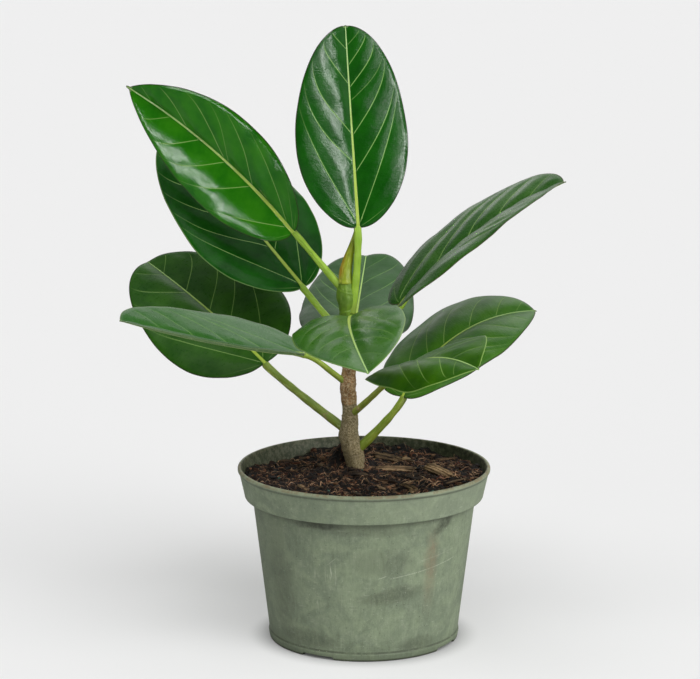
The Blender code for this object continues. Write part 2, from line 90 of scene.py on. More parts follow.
class Nodes:
    # The nodes of one tree.
    def __init__(self, tree):
        self.tree = tree

    def feed(self, socket, value):
        if isinstance(value, Wire):
            self.tree.links.new(value.socket, socket)
        elif socket.type == "RGBA" and len(value) == 3:
            socket.default_value = (*value, 1)
        else:
            socket.default_value = value

    def add(self, kind, settings, sockets=(), out=0):
        node = self.tree.nodes.new("ShaderNode" + kind)
        for setting, value in settings.items():
            setattr(node, setting, value)
        pairs = sockets.items() if isinstance(sockets, dict) else enumerate(sockets)
        for key, value in pairs:
            self.feed(node.inputs[key], value)
        return Wire(self, node.outputs[out]) if node.outputs else None

    def mix(self, share, low, high):  # colours
        return self.add("Mix", dict(data_type="RGBA"), {0: share, 6: low, 7: high}, out=2)

    def layered(self, base, *layers):  # each layer is how much of it shows, and its colour
        for share, colour in layers:
            base = self.mix(share, base, colour)
        return base

    def scaled(self, vector, sizes):
        return self.add("VectorMath", dict(operation="MULTIPLY"), (vector, sizes))

    def moved(self, vector, other):
        return self.add("VectorMath", dict(operation="ADD"), (vector, other))

    def place(self):  # millimetres in the row frame
        return self.scaled(self.add("TexCoord", {}, out="Object"), (1000, 1000, 1000))

    def mark(self, name):
        return self.add("Attribute", dict(attribute_name=name), out="Vector")

    def parts(self, vector):
        node = self.add("SeparateXYZ", {}, (vector,)).socket.node
        return [Wire(self, socket) for socket in node.outputs]

    def clouds(self, vector, size, detail=3.0, rough=0.5, warp=0.0, out=0):  # 0 to 1, about 0.5
        sockets = {"Vector": vector, "Scale": 1 / size, "Detail": detail, "Roughness": rough,
                   "Distortion": warp}
        return self.add("TexNoise", {}, sockets, out)

    def warped(self, vector, size, depth):  # pushed about by three clouds at once
        return self.moved(vector, self.scaled(self.clouds(vector, size, 2, out="Color"), (depth,) * 3))

    def cells(self, vector, size, feature="DISTANCE_TO_EDGE"):
        sockets = {"Vector": vector, "Scale": 1 / size}
        return self.add("TexVoronoi", dict(feature=feature), sockets, out="Distance")

    def relief(self, height, depth):  # depth in mm for a height of 1
        sockets = {"Strength": 1.0, "Distance": depth * mm, "Height": height}
        return self.add("Bump", {}, sockets, out="Normal")


class Finish(Nodes):
    # One material around a Principled shader.
    def __init__(self, name, sockets):
        self.material = bpy.data.materials.new(name)
        self.material.use_nodes = True
        super().__init__(self.material.node_tree)
        self.shader = self.tree.nodes["Principled BSDF"]
        self.paint(sockets)

    def paint(self, sockets):  # each socket's value all over, or the wire that varies it
        for socket, value in sockets.items():
            self.feed(self.shader.inputs[socket], value)
        return self


def smooth(x, low, high):
    share = np.clip((x - low) / (high - low), 0, 1)
    return share * share * (3 - 2 * share)


def clouds(points, size, seed=0):  # soft noise from about -0.5 to 0.5 at each point
    shift = Vector((seed * 17.3, seed * 5.1, seed * 9.7))
    spots = (np.asarray(points) / size).reshape(-1, 3)
    return np.array([noise.noise(Vector(spot) + shift) for spot in spots]).reshape(np.shape(points)[:-1])


def ringTurns(sides):  # even angles round a ring
    return np.arange(sides) * math.tau / sides


def gridFaces(rows, columns, closed=False):
    across = columns if closed else columns - 1
    i, j = np.meshgrid(np.arange(rows - 1), np.arange(across), indexing="ij")
    low = i * columns + j
    high = i * columns + (j + 1) % columns
    return np.stack([low, high, high + columns, low + columns], -1).reshape(-1, 4).tolist()


def tubeFaces(rings, sides):
    last = (rings - 1) * sides
    ends = [list(range(sides))[::-1], list(range(last, last + sides))]
    return gridFaces(rings, sides, closed=True) + ends


def curveThrough(knots, values, x):  # a smooth curve through the given values
    knots, values = np.asarray(knots, float), np.asarray(values, float)
    slopes = np.gradient(values, knots)
    k = np.clip(np.searchsorted(knots, x, side="right") - 1, 0, len(knots) - 2)
    width = knots[k + 1] - knots[k]
    s = np.clip((x - knots[k]) / width, 0, 1)
    return ((2 * s ** 3 - 3 * s ** 2 + 1) * values[k] + (s ** 3 - 2 * s ** 2 + s) * width * slopes[k]
            + (3 * s ** 2 - 2 * s ** 3) * values[k + 1] + (s ** 3 - s ** 2) * width * slopes[k + 1])


def addPiece(name, points, faces, finishes, replaced=(), marks=None, chosen=None, sharp=None):
    # points in mm; marks are vectors on the points; chosen says each face's finish
    mesh = bpy.data.meshes.new(name)
    mesh.from_pydata((np.asarray(points) * mm).tolist(), [], faces)
    for finish in finishes:
        mesh.materials.append(finish.material)
    mesh.shade_smooth()
    if sharp:
        mesh.set_sharp_from_angle(angle=math.radians(sharp))
    if chosen is not None:
        mesh.polygons.foreach_set("material_index", chosen)
    for mark, values in (marks or {}).items():
        layer = mesh.attributes.new(mark, "FLOAT_VECTOR", "POINT")
        layer.data.foreach_set("vector", np.asarray(values, np.float32).ravel())
    mesh.update()
    piece = bpy.data.objects.new(name, mesh)
    bpy.context.scene.collection.objects.link(piece)
    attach(piece, "root")
    if replaced:
        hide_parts(*replaced)
    return piece


def tubePoints(path, radii, sides, upward, shape):
    # rings of points square to a path; the first point of a ring lies towards upward
    ahead = np.gradient(path, axis=0)
    ahead /= np.linalg.norm(ahead, axis=1)[:, None]
    turn = ringTurns(sides)
    side = upward
    rings = []
    for i in range(len(path) - 1, -1, -1):  # from the far end back, so that upward holds there
        side = side - ahead[i] * (side @ ahead[i])
        side /= np.linalg.norm(side)
        other = np.cross(ahead[i], side)
        ring = side * np.cos(turn)[:, None] + other * np.sin(turn)[:, None]
        rings.append(path[i] + ring * (radii[i] * shape(turn, i / (len(path) - 1)))[:, None])
    return np.array(rings[::-1])


# base: where the blade starts. node: height of the stalk on the stem. beside: how far from the stem's middle
# it starts. exit: its slope there. stalk: its radius there and at the blade.
# heading and rise: the midrib at the base; it turns by sweep and droops by droop. roll and twist turn the
# blade about it. fold lifts each half (left, right) from the midrib, and curl bends it down again.
# uneven: how much wider the right half is. widest: where, as a share of the length. tip and heel: how pointed
# the two ends are. lobe: how far the base reaches back. wave and phase: the margin's waves. drip: how far the
# tip is drawn out.
# quilt: how far each half swells between its side veins. skew: how much of that lies close to the midrib.
# dip: how far the blade sinks along the midrib. crinkle: the depth of the fine wrinkles.
# deep and light: its greens. gloss: the roughness. shine: how strong its highlights are. veined: how pale the
# veins are. margin colour: the edge's colour, painted pale as a highlight where a leaf's edge catches the
# light.
# veins: for the left and the right half, each vein's start as a share of the length, its angle from the
# midrib, its strength, and how far its end runs forward along the margin.
usual = dict(beside=(0, 0), quilt=(0.3, 0.3), dip=0.3, skew=0)  # where a leaf says nothing else
leaves = {
    "top": dict(
        usual, base=(-3.5, 3, 250), node=198, beside=(2.5, -1.5), exit=78, stalk=(2.6, 2.2),
        heading=109, rise=78.5, sweep=8, droop=-4, roll=-7, twist=5,
        length=119.5, width=69.5, fold=(14, 16), curl=(23, 20), uneven=-0.03,
        widest=0.43, tip=0.5, heel=0.58, lobe=1.8, wave=0.5, phase=0.3, drip=0.15,
        deep=(0.002, 0.056, 0.001), light=(0.008, 0.098, 0.003), gloss=0.21,
        shine=0.5, quilt=(0.35, 0.35), dip=0.15, crinkle=0.125, veined=0.85, margin=(0.02, 0.03, 0.008),
        veins=([(0, 75, 0.4, 8), (0.02, 31, 1, 18), (0.322, 48, 1, 25), (0.465, 43, 1, 24),
                (0.71, 40, 0.9, 10), (0.883, 48, 0.7, 3)],
               [(0, 68, 0.4, 7), (0, 24, 1, 16), (0.267, 36, 1, 18), (0.454, 37, 1, 19),
                (0.626, 50, 0.4, 12), (0.692, 41, 1, 11), (0.8, 38, 0.8, 6), (0.9, 45, 0.4, 2)])),
    "upper_left": dict(
        usual, base=(-42.5, 20.5, 244), node=210, exit=42, stalk=(2.4, 1.9),
        heading=145.5, rise=42, sweep=6, droop=17, roll=-79, twist=-11,
        length=145, width=63.5, fold=(16, 21), curl=(23, 17), uneven=0,
        widest=0.42, tip=0.88, heel=0.56, lobe=2.6, wave=0.5, phase=1.1, drip=2.4,
        deep=(0.006, 0.125, 0.001), light=(0.032, 0.215, 0.003), gloss=0.19,
        shine=0.5, quilt=(0.12, 1.3), dip=0.2, skew=0.75, crinkle=0.055, veined=0.8,
        margin=(0.03, 0.05, 0.01),
        veins=([(0, 80, 0.4, 7), (0.03, 40, 1, 16), (0.276, 47, 1, 18), (0.434, 47, 1, 17),
                (0.589, 45, 1, 12), (0.76, 40, 0.7, 7)],
               [(0, 80, 0.4, 7), (0, 53, 0.4, 10), (0.04, 34, 1, 14), (0.27, 47, 1, 18),
                (0.42, 53, 0.5, 14), (0.446, 34, 1, 12), (0.667, 33, 0.9, 7), (0.87, 35, 0.4, 3)])),
    "back_left": dict(
        usual, base=(-37, 39, 207.5), node=180, exit=30, stalk=(2.4, 2.0),
        heading=137, rise=37.5, sweep=3, droop=-2, roll=-27, twist=-6,
        length=141, width=78.5, fold=(6.5, 6.5), curl=(13, 17), uneven=-0.02,
        widest=0.4, tip=0.46, heel=0.6, lobe=2.7, wave=0.6, phase=2.0, drip=1.2,
        deep=(0.002, 0.048, 0.001), light=(0.008, 0.1, 0.003), gloss=0.2,
        shine=0.36, quilt=(0.4, 0.4), crinkle=0.12, veined=0.9, margin=(0.12, 0.22, 0.06),
        veins=([(0, 80, 0.5, 8), (0.02, 33, 1, 17), (0.25, 45, 1, 19), (0.41, 46, 1, 18),
                (0.57, 46, 1, 14), (0.73, 45, 0.8, 8), (0.87, 45, 0.5, 3)],
               [(0, 80, 0.5, 8), (0.01, 30, 1, 17), (0.22, 44, 1, 19), (0.4, 45, 1, 18),
                (0.56, 45, 1, 13), (0.72, 45, 0.8, 7), (0.85, 45, 0.5, 3)])),
    "left": dict(
        usual, base=(-60.5, 39, 160), node=124.5, exit=27, stalk=(2.9, 2.3),
        heading=128.5, rise=24.5, sweep=8, droop=3.5, roll=-32, twist=13.5,
        length=125, width=85, fold=(6, 8), curl=(23, 7), uneven=0,
        widest=0.4, tip=0.45, heel=0.5, lobe=2.5, wave=0.6, phase=0.5, drip=0.2,
        deep=(0.01, 0.06, 0.003), light=(0.036, 0.124, 0.01), gloss=0.3,
        shine=0.21, quilt=(0.35, 0.35), crinkle=0.12, veined=0.6, margin=(0.025, 0.03, 0.01),
        veins=([(0, 80, 0.5, 8), (0, 31, 1, 16), (0.25, 45, 1, 18), (0.46, 49, 1, 16),
                (0.671, 52, 1, 10), (0.85, 50, 0.5, 3)],
               [(0, 80, 0.5, 8), (0.02, 33, 1, 16), (0.322, 46, 1, 16), (0.487, 50, 1, 14),
                (0.684, 50, 1, 10), (0.87, 46, 0.7, 3)])),
    "front_left": dict(
        usual, base=(-36, -4.5, 175.5), node=154.5, exit=30, stalk=(2.1, 1.8),
        heading=189, rise=6.5, sweep=4, droop=-12, roll=-4, twist=-1.5,
        length=112, width=72.5, fold=(15, 15), curl=(1, 4.5), uneven=0,
        widest=0.4, tip=0.42, heel=0.5, lobe=2.6, wave=0.3, phase=2.6, drip=0.2,
        deep=(0.012, 0.085, 0.006), light=(0.032, 0.12, 0.016), gloss=0.3,
        shine=0.45, quilt=(0.6, 0.4), crinkle=0.14, veined=0.4, margin=(0.1, 0.16, 0.05),
        veins=([(0, 80, 0.5, 8), (0.02, 32, 1, 16), (0.24, 44, 1, 17), (0.42, 47, 1, 16),
                (0.6, 47, 1, 11), (0.78, 46, 0.6, 5)],
               [(0, 80, 0.5, 8), (0.02, 30, 1, 16), (0.214, 40, 1, 17), (0.4, 46, 1, 16),
                (0.58, 47, 1, 11), (0.76, 46, 0.6, 5)])),
    "front": dict(
        usual, base=(-8, -44.5, 206), node=172, exit=38, stalk=(2.3, 1.9),
        heading=266.5, rise=6.5, sweep=17.5, droop=22.5, roll=11.5, twist=-2.5,
        length=112.5, width=65.5, fold=(16, 14), curl=(22, 24), uneven=0.02,
        widest=0.43, tip=0.66, heel=0.49, lobe=5, wave=0.8, phase=1.6, drip=0.5,
        deep=(0.014, 0.09, 0.003), light=(0.04, 0.135, 0.007), gloss=0.3,
        shine=0.42, quilt=(0.5, 0.5), dip=0.4, crinkle=0.1, veined=0.3, margin=(0.16, 0.27, 0.06),
        veins=([(0, 80, 0.5, 8), (0.12, 28, 1, 13), (0.42, 38, 1, 13), (0.602, 52, 0.9, 10),
                (0.79, 48, 0.5, 4)],
               [(0, 80, 0.5, 8), (0.03, 32, 1, 14), (0.3, 42, 1, 16), (0.5, 46, 1, 12),
                (0.7, 48, 0.7, 6)])),
    "back": dict(
        usual, base=(-7, 60, 171), node=148, exit=25, stalk=(2.3, 1.9),
        heading=87, rise=9.5, sweep=-2, droop=-11, roll=3.5, twist=-7.5,
        length=124, width=73.5, fold=(6.5, 5.5), curl=(26, 24), uneven=-0.02,
        widest=0.4, tip=0.32, heel=0.36, lobe=4.4, wave=0.6, phase=0.9, drip=0.3,
        deep=(0.012, 0.06, 0.008), light=(0.03, 0.1, 0.02), gloss=0.36,
        shine=0.18, crinkle=0.12, veined=0.5, margin=(0.03, 0.04, 0.015),
        veins=([(0, 80, 0.5, 8), (0.02, 30, 0.9, 14), (0.227, 33, 1, 17), (0.44, 42, 1, 16),
                (0.64, 46, 0.9, 10), (0.82, 46, 0.5, 4)],
               [(0, 80, 0.5, 8), (0.02, 30, 0.9, 14), (0.27, 38, 1, 17), (0.486, 40, 1, 14),
                (0.68, 45, 0.9, 8), (0.84, 46, 0.5, 4)])),
    "upper_right": dict(
        usual, base=(21.5, 19.5, 200.5), node=178, exit=32, stalk=(2.3, 1.9),
        heading=17.5, rise=48.5, sweep=-21.5, droop=24.5, roll=-4, twist=10.5,
        length=124.5, width=76, fold=(18, 20), curl=(18, 32), uneven=0.03,
        widest=0.42, tip=0.42, heel=0.5, lobe=9, wave=0.5, phase=2.2, drip=1.2,
        deep=(0.01, 0.07, 0.003), light=(0.036, 0.125, 0.01), gloss=0.28,
        shine=0.5, quilt=(0.9, 0.6), dip=0.4, crinkle=0.12, veined=0.85, margin=(0.06, 0.05, 0.025),
        veins=([(0, 80, 0.5, 8), (-0.04, 25, 1, 12), (0.244, 33, 1, 16), (0.451, 40, 1, 14),
                (0.63, 42, 0.9, 8), (0.8, 42, 0.5, 4)],
               [(0, 80, 0.5, 8), (0.02, 28, 1, 14), (0.26, 38, 1, 16), (0.45, 42, 1, 14),
                (0.64, 42, 0.9, 8), (0.82, 42, 0.5, 4)])),
    "right": dict(
        usual, base=(23, 10, 145.5), node=111, exit=43, stalk=(2.9, 2.2),
        heading=42, rise=51.5, sweep=-19.5, droop=55, roll=6, twist=20,
        length=111, width=81.5, fold=(9, 13), curl=(50, 27), uneven=-0.1,
        widest=0.44, tip=0.77, heel=0.51, lobe=3, wave=0.6, phase=1.3, drip=1.2,
        deep=(0.026, 0.115, 0.008), light=(0.062, 0.18, 0.015), gloss=0.34,
        shine=0.3, crinkle=0.14, veined=0.55, margin=(0.035, 0.035, 0.012),
        veins=([(0, 80, 0.5, 8), (0.071, 36, 1, 12), (0.266, 50, 0.8, 13), (0.389, 47, 1, 14),
                (0.574, 48, 1, 10), (0.753, 52, 0.8, 5), (0.88, 48, 0.4, 2)],
               [(0, 80, 0.5, 8), (0.02, 32, 1, 13), (0.25, 46, 1, 16), (0.42, 50, 1, 14),
                (0.6, 50, 1, 8), (0.78, 48, 0.6, 4)])),
    "front_right": dict(
        usual, base=(15, -22, 164.5), node=134.5, exit=35, stalk=(2.2, 1.8),
        heading=-58, rise=35.5, sweep=0, droop=44, roll=-0.5, twist=37,
        length=97.5, width=63.5, fold=(12.5, 16), curl=(37, 54), uneven=0.04,
        widest=0.53, tip=0.8, heel=0.37, lobe=5, wave=0.4, phase=0.1, drip=0.6,
        deep=(0.014, 0.075, 0.001), light=(0.044, 0.142, 0.003), gloss=0.34,
        shine=0.25, quilt=(0.4, 0.4), crinkle=0.1, veined=0.6, margin=(0.26, 0.42, 0.1),
        veins=([(0, 80, 0.5, 7), (0.06, 34, 1, 13), (0.3, 45, 1, 14), (0.5, 48, 0.9, 11),
                (0.72, 48, 0.6, 5)],
               [(0, 80, 0.5, 7), (0.142, 33, 1, 11), (0.35, 33, 1, 11), (0.596, 33, 0.9, 7),
                (0.78, 45, 0.5, 3)])),
}
blade = dict(
    rows=150, dripRows=7, halfColumns=42, thickness=0.6, rimThickness=0.3, rim=0.1,
    ribShares=(0, 0.5, 0.9, 1), ribHalf=(1.0, 0.48, 0.3, 0.18),  # half width of the midrib's pale face
    ribLength=120,  # on a blade of this length
    ribSteps=(0, 0.33, 0.6, 0.82, 1.0, 1.3, 1.8, 2.6, 3.8),  # columns near the midrib, in its half widths
    ribRise=0.3, ribValley=0.45, ribDepth=1.9, ribDepthHalf=1.8, baseHalf=1.9, tipHalf=0.7, waves=3,
    veinGroove=0.2, veinWidth=0.7, veinRidge=0.38, veinFade=(0.62, 0.9), quiltGap=16, crest=8, crestEnd=18,
    dipWidth=7, uneven=0.5, unevenSize=20, rollDown=0.3, rollWidth=1.3, marginWave=0.5, marginWaveSize=13)


def direction(heading, rise):
    heading, rise = np.radians(heading), np.radians(rise)
    return np.stack([np.cos(rise) * np.cos(heading), np.cos(rise) * np.sin(heading), np.sin(rise)], -1)


def bladeAxes(leaf, t):  # along the midrib, to the blade's left, and up out of its top face
    t = np.clip(t, 0, 1)
    heading = leaf["heading"] + leaf["sweep"] * t
    ahead = direction(heading, leaf["rise"] - leaf["droop"] * t)
    left = direction(heading + 90, np.zeros_like(heading))
    up = np.cross(ahead, left)
    roll = np.radians(leaf["roll"] + leaf["twist"] * t)[..., None]
    return ahead, left * np.cos(roll) + up * np.sin(roll), up * np.cos(roll) - left * np.sin(roll)


def onMidrib(leaf, t, steps=600):
    middle = (np.arange(steps) + 0.5) / steps
    pace = direction(leaf["heading"] + leaf["sweep"] * middle, leaf["rise"] - leaf["droop"] * middle)
    path = np.vstack([np.zeros(3), np.cumsum(pace, 0)]) * leaf["length"] / steps + leaf["base"]
    inside = np.clip(t, 0, 1)
    points = np.stack([np.interp(inside * steps, np.arange(steps + 1), path[:, k]) for k in range(3)], -1)
    return points + bladeAxes(leaf, inside)[0] * ((t - inside) * leaf["length"])[..., None]


def bladeRows(leaf):  # share of the length, half width and lobe of each row
    widest = leaf["widest"]
    turn = np.linspace(0, np.pi, blade["rows"])
    low = turn < np.pi / 2
    t = np.where(low, widest * (1 - np.cos(turn)), widest - (1 - widest) * np.cos(turn))
    sine = np.maximum(np.sin(turn), 0)
    half = leaf["width"] / 2 * sine ** (2 * np.where(low, leaf["heel"], leaf["tip"]))
    reach = 2.6 * leaf["lobe"] * sine * np.exp(-(turn / 0.55) ** 2)
    half = np.hypot(half, np.where(low, blade["baseHalf"], blade["tipHalf"]) * np.abs(np.cos(turn)))
    drip = np.arange(1, blade["dripRows"] + 1) / blade["dripRows"]
    t = np.append(t, 1 + leaf["drip"] / leaf["length"] * drip)
    half = np.append(half, blade["tipHalf"] * np.sqrt(1.0025 - drip ** 2))
    return t, half, np.append(reach, np.zeros(len(drip)))


def veinField(along, across, share, leaf, veins):
    # Signed distance to the nearest side vein, its phase (1 on a vein, -1 half way), strength and gap.
    starts = []
    slopes = []
    half = np.maximum(across / np.maximum(share, 1e-3), 1)
    for start, angle, _, forward in veins:  # straight at first, then bending forward
        lean = 1 / math.tan(math.radians(angle))
        starts.append(start * leaf["length"] + across * lean + forward * share ** 3.5)
        slopes.append(lean + forward * 3.5 * share ** 2.5 / half)
    for k in range(len(veins) - 2, -1, -1):
        starts[k] = np.minimum(starts[k], starts[k + 1] - 0.01)
    lines = np.array([starts[0] - 25] + starts + [starts[-1] + 25])
    slopes = np.array([slopes[0]] + slopes + [slopes[-1]])
    strengths = np.array([0] + [vein[2] for vein in veins] + [0])
    below = np.clip((lines <= along).sum(0) - 1, 0, len(lines) - 2)
    low = np.take_along_axis(lines, below[None], 0)[0]
    high = np.take_along_axis(lines, below[None] + 1, 0)[0]
    gap = high - low
    turn = np.clip((along - low) / gap, 0, 1)
    nearest = below + (turn > 0.5)
    slope = np.take_along_axis(slopes, nearest[None], 0)[0]
    squeeze = 1 / np.hypot(1, slope)  # from along the midrib to square to the vein
    distance = np.sin(math.tau * turn) * gap / math.tau * squeeze
    return distance, np.cos(math.tau * turn), strengths[nearest], gap * squeeze


def halfBlade(leaf, side, number):
    # one half of a blade, column 0 on the midrib: arrays of rows x columns
    which = 0 if side > 0 else 1
    t, half, reach = (row[:, None] for row in bladeRows(leaf))
    half = half * (1 - side * leaf["uneven"])
    ribHalf = np.interp(t, blade["ribShares"], blade["ribHalf"]) * (leaf["length"] / blade["ribLength"])
    count, inner = blade["halfColumns"], len(blade["ribSteps"]) - 1
    near = np.minimum(ribHalf * blade["ribSteps"], half * np.arange(inner + 1) / count * 1.6)
    rest = 1 - (1 - np.arange(1, count - inner + 1) / (count - inner)) ** 1.35
    across = np.hstack([near, near[:, -1:] + (half - near[:, -1:]) * rest])
    share = across / half
    along = t * leaf["length"] - reach * share
    at = along / leaf["length"]
    ahead, left, up = bladeAxes(leaf, at)

    # the folded and curled half, with waves along its margin
    outermost = leaf["width"] / 2
    fold = np.radians(leaf["fold"][which])
    bend = np.radians(leaf["curl"][which]) / outermost
    tilt = fold - bend * across
    height = (np.cos(tilt) - np.cos(fold)) / bend
    wave = np.sin(math.tau * blade["waves"] * t + leaf["phase"] + side)
    height += leaf["wave"] * (across / outermost) ** 3 * wave
    outward = left * side
    out = (np.sin(fold) - np.sin(tilt)) / bend
    middle = onMidrib(leaf, at) + outward * out[..., None] + up * height[..., None]
    normal = up * np.cos(tilt)[..., None] - outward * np.sin(tilt)[..., None]

    # distance to the margin, in the blade's own plane
    border = np.stack([along[:, -1], across[:, -1]], -1)
    flat = np.stack([along, across], -1).reshape(-1, 1, 2)
    edge = np.sqrt(((flat - border[None]) ** 2).sum(-1)).min(1).reshape(across.shape)

    distance, phase, strength, gap = veinField(along, across, share, leaf, leaf["veins"][which])
    clear = smooth(across, 0.8 * ribHalf, 0.8 * ribHalf + 1.2) * smooth(edge, 0.3, 2.5)
    clear = clear * (1 - 0.8 * smooth(share, *blade["veinFade"]))
    vein = np.exp(-(distance / blade["veinWidth"]) ** 2) * (phase > 0) * strength * clear

    # what both faces share: soft swelling, ripples at the margin, panels between the veins, the sunk middle
    spot = np.stack([side * across, along, np.full_like(along, 60.0 * number)], -1)
    swell = clouds(spot, blade["unevenSize"], 1) + clouds(spot, blade["unevenSize"] / 3, 2) * 0.3
    ripple = clouds(spot, blade["marginWaveSize"], 3) * np.exp(-edge / 5)
    crest = blade["crest"] * (1 - leaf["skew"] / 2)
    pillow = (0.5 - 0.5 * phase) * np.minimum(gap / blade["quiltGap"], 1) * leaf["quilt"][which]
    pillow = pillow * smooth(across, 1, crest) * smooth(edge, 0, 8)
    pillow = pillow * (1 - leaf["skew"] * smooth(across, crest, blade["crestEnd"]))
    dip = leaf["dip"] * np.exp(-(across / blade["dipWidth"]) ** 2) * smooth(t, 0.03, 0.2)
    shared = blade["uneven"] * swell * smooth(across, 0, 5) + ripple * blade["marginWave"] + pillow - dip
    shared = shared - blade["rollDown"] * np.exp(-(edge / blade["rollWidth"]) ** 2)

    bar = np.sqrt(np.maximum(0, 1 - (across / ribHalf) ** 2)) * ribHalf / blade["ribHalf"][0]
    valley = np.exp(-(across / 3) ** 2)
    top = shared + blade["ribRise"] * bar - blade["ribValley"] * valley - blade["veinGroove"] * vein
    slim = 1 - 0.8 * np.clip(t, 0, 1)
    keel = np.exp(-(across / (blade["ribDepthHalf"] * slim)) ** 4) * blade["ribDepth"] * slim
    low = shared - keel - blade["veinRidge"] * vein
    thick = blade["rimThickness"] + (blade["thickness"] - blade["rimThickness"]) * smooth(edge, 0, 3)
    return dict(
        top=middle + normal * (thick / 2 + top)[..., None],
        low=middle + normal * (low - thick / 2)[..., None],
        flat=spot,
        vein=np.stack([distance, phase, strength * clear], -1),
        blade=np.stack([np.broadcast_to(np.clip(t, 0, 1), across.shape), edge, across / ribHalf], -1))


def makeBlade(place, number, leaf, finishes):
    left, right = halfBlade(leaf, 1, number), halfBlade(leaf, -1, number)
    grid = {key: np.concatenate([left[key][:, :0:-1], right[key]], 1) for key in left}
    rows, columns = grid["top"].shape[:2]
    grid = {key: values.reshape(-1, 3) for key, values in grid.items()}
    count = rows * columns
    around = list(range(columns))
    around += [i * columns + columns - 1 for i in range(1, rows)]
    around += list(range((rows - 1) * columns, rows * columns - 1))[::-1]
    around += [i * columns for i in range(1, rows - 1)][::-1]
    # the rim: a line of points a little outside the margin, half way between the two faces
    border = (grid["top"][around] + grid["low"][around]) / 2
    along = np.roll(border, -1, 0) - np.roll(border, 1, 0)
    outward = np.cross(along, grid["top"][around] - grid["low"][around])
    outward /= np.maximum(np.linalg.norm(outward, axis=1), 1e-6)[:, None]
    points = np.vstack([grid["top"], grid["low"], border + outward * blade["rim"]])
    above = gridFaces(rows, columns)
    under = [[corner + count for corner in face[::-1]] for face in above]
    faces = above + under
    chosen = [0] * len(above) + [1] * len(under)
    for k, a in enumerate(around):
        n = (k + 1) % len(around)
        b = around[n]
        faces.append([b, a, 2 * count + k, 2 * count + n])
        faces.append([2 * count + n, 2 * count + k, a + count, b + count])
        chosen += [0, 1]
    marks = {}
    for key in ("flat", "vein", "blade"):
        marks[key] = np.vstack([grid[key], grid[key], grid[key][around]])
    addPiece(f"{place}_blade", points, faces, finishes, [f"leaf_{place}_blade"], marks, chosen)


def bladeMarks(look):
    distance, phase, strength = look.parts(look.mark("vein"))
    line = abs(distance).falling(0.08, 0.32) * phase.rising(0.1, 0.4) * strength
    glow = abs(distance).falling(0.2, 1.6) * phase.rising(0, 0.3) * strength
    return look.mark("flat"), line, glow, *look.parts(look.mark("blade"))


def topFinish(place, leaf):
    look = Finish(f"{place}_top", {"IOR": 1.4, "Specular IOR Level": leaf["shine"]})
    flat, line, glow, share, edge, rib = bladeMarks(look)
    grain = look.clouds(flat, 2.2, 3, 0.6)
    groove = rib.falling(0.85, 1.15)
    ribTone = look.mix(share.rising(0.1, 0.95), (0.42, 0.56, 0.07), (0.38, 0.58, 0.2))
    deep, light = leaf["deep"], leaf["light"]
    green = look.layered(
        look.mix((look.clouds(flat, 16, 3, 0.55) * 1.6 - 0.3).rising(0, 1), deep, light),
        ((grain - 0.35).rising(0, 0.5) * 0.25, light),
        (glow * 0.12, [c * 1.35 + 0.006 for c in light]),
        (line * leaf["veined"], (0.26 + light[0], 0.48, 0.12 + light[2])),
        (rib.rising(1.0, 1.3) * rib.falling(1.5, 2.6) * 0.35, deep),
        (groove * 0.95, look.layered(ribTone, (rib.rising(0.6, 1.0) * 0.3, (0.18, 0.36, 0.03)))),
        # the margin: its edge colour, painted pale as a highlight on the leaves whose edge catches the light
        (edge.falling(0.25, 0.8) * 0.85, leaf["margin"]))
    # a fine crinkle of strands drawn out across the leaf, with a finer net in it
    warped = look.warped(flat, 7, 3)
    strands = look.clouds(look.scaled(warped, (0.28, 1, 1)), 0.9, 3, 0.6)
    net = look.cells(warped, 1.7).rising(0, 0.2)
    return look.paint({
        "Base Color": green,
        "Roughness": leaf["gloss"] + (grain - 0.5) * 0.2 + line * 0.1 + groove * 0.12,
        "Normal": look.relief(strands + grain * 0.3 + net * 0.08 - line * 0.4, leaf["crinkle"])})


def underFinish(place):
    look = Finish(f"{place}_underside", {"Roughness": 0.55, "IOR": 1.4})
    flat, line, glow, _, edge, rib = bladeMarks(look)
    net = look.cells(look.warped(flat, 5, 1.6), 2.3)
    green = look.layered(
        look.mix(look.clouds(flat, 14, 3, 0.55), (0.1, 0.19, 0.07), (0.15, 0.26, 0.09)),
        (net.falling(0.02, 0.16) * 0.35, (0.22, 0.34, 0.14)),
        (glow * 0.4, (0.2, 0.32, 0.12)),
        (line * 0.8, (0.36, 0.46, 0.2)),
        (rib.falling(0.9, 1.6) * 0.9, (0.36, 0.44, 0.14)),
        (edge.falling(0.3, 0.8) * 0.6, (0.12, 0.12, 0.05)))
    bumps = net.rising(0, 0.25) * 0.6 + look.clouds(flat, 0.6, 2) * 0.4
    return look.paint({"Base Color": green, "Normal": look.relief(bumps, 0.12)})


for number, (place, leaf) in enumerate(leaves.items()):
    makeBlade(place, number, leaf, [topFinish(place, leaf), underFinish(place)])
print("stage: blades")


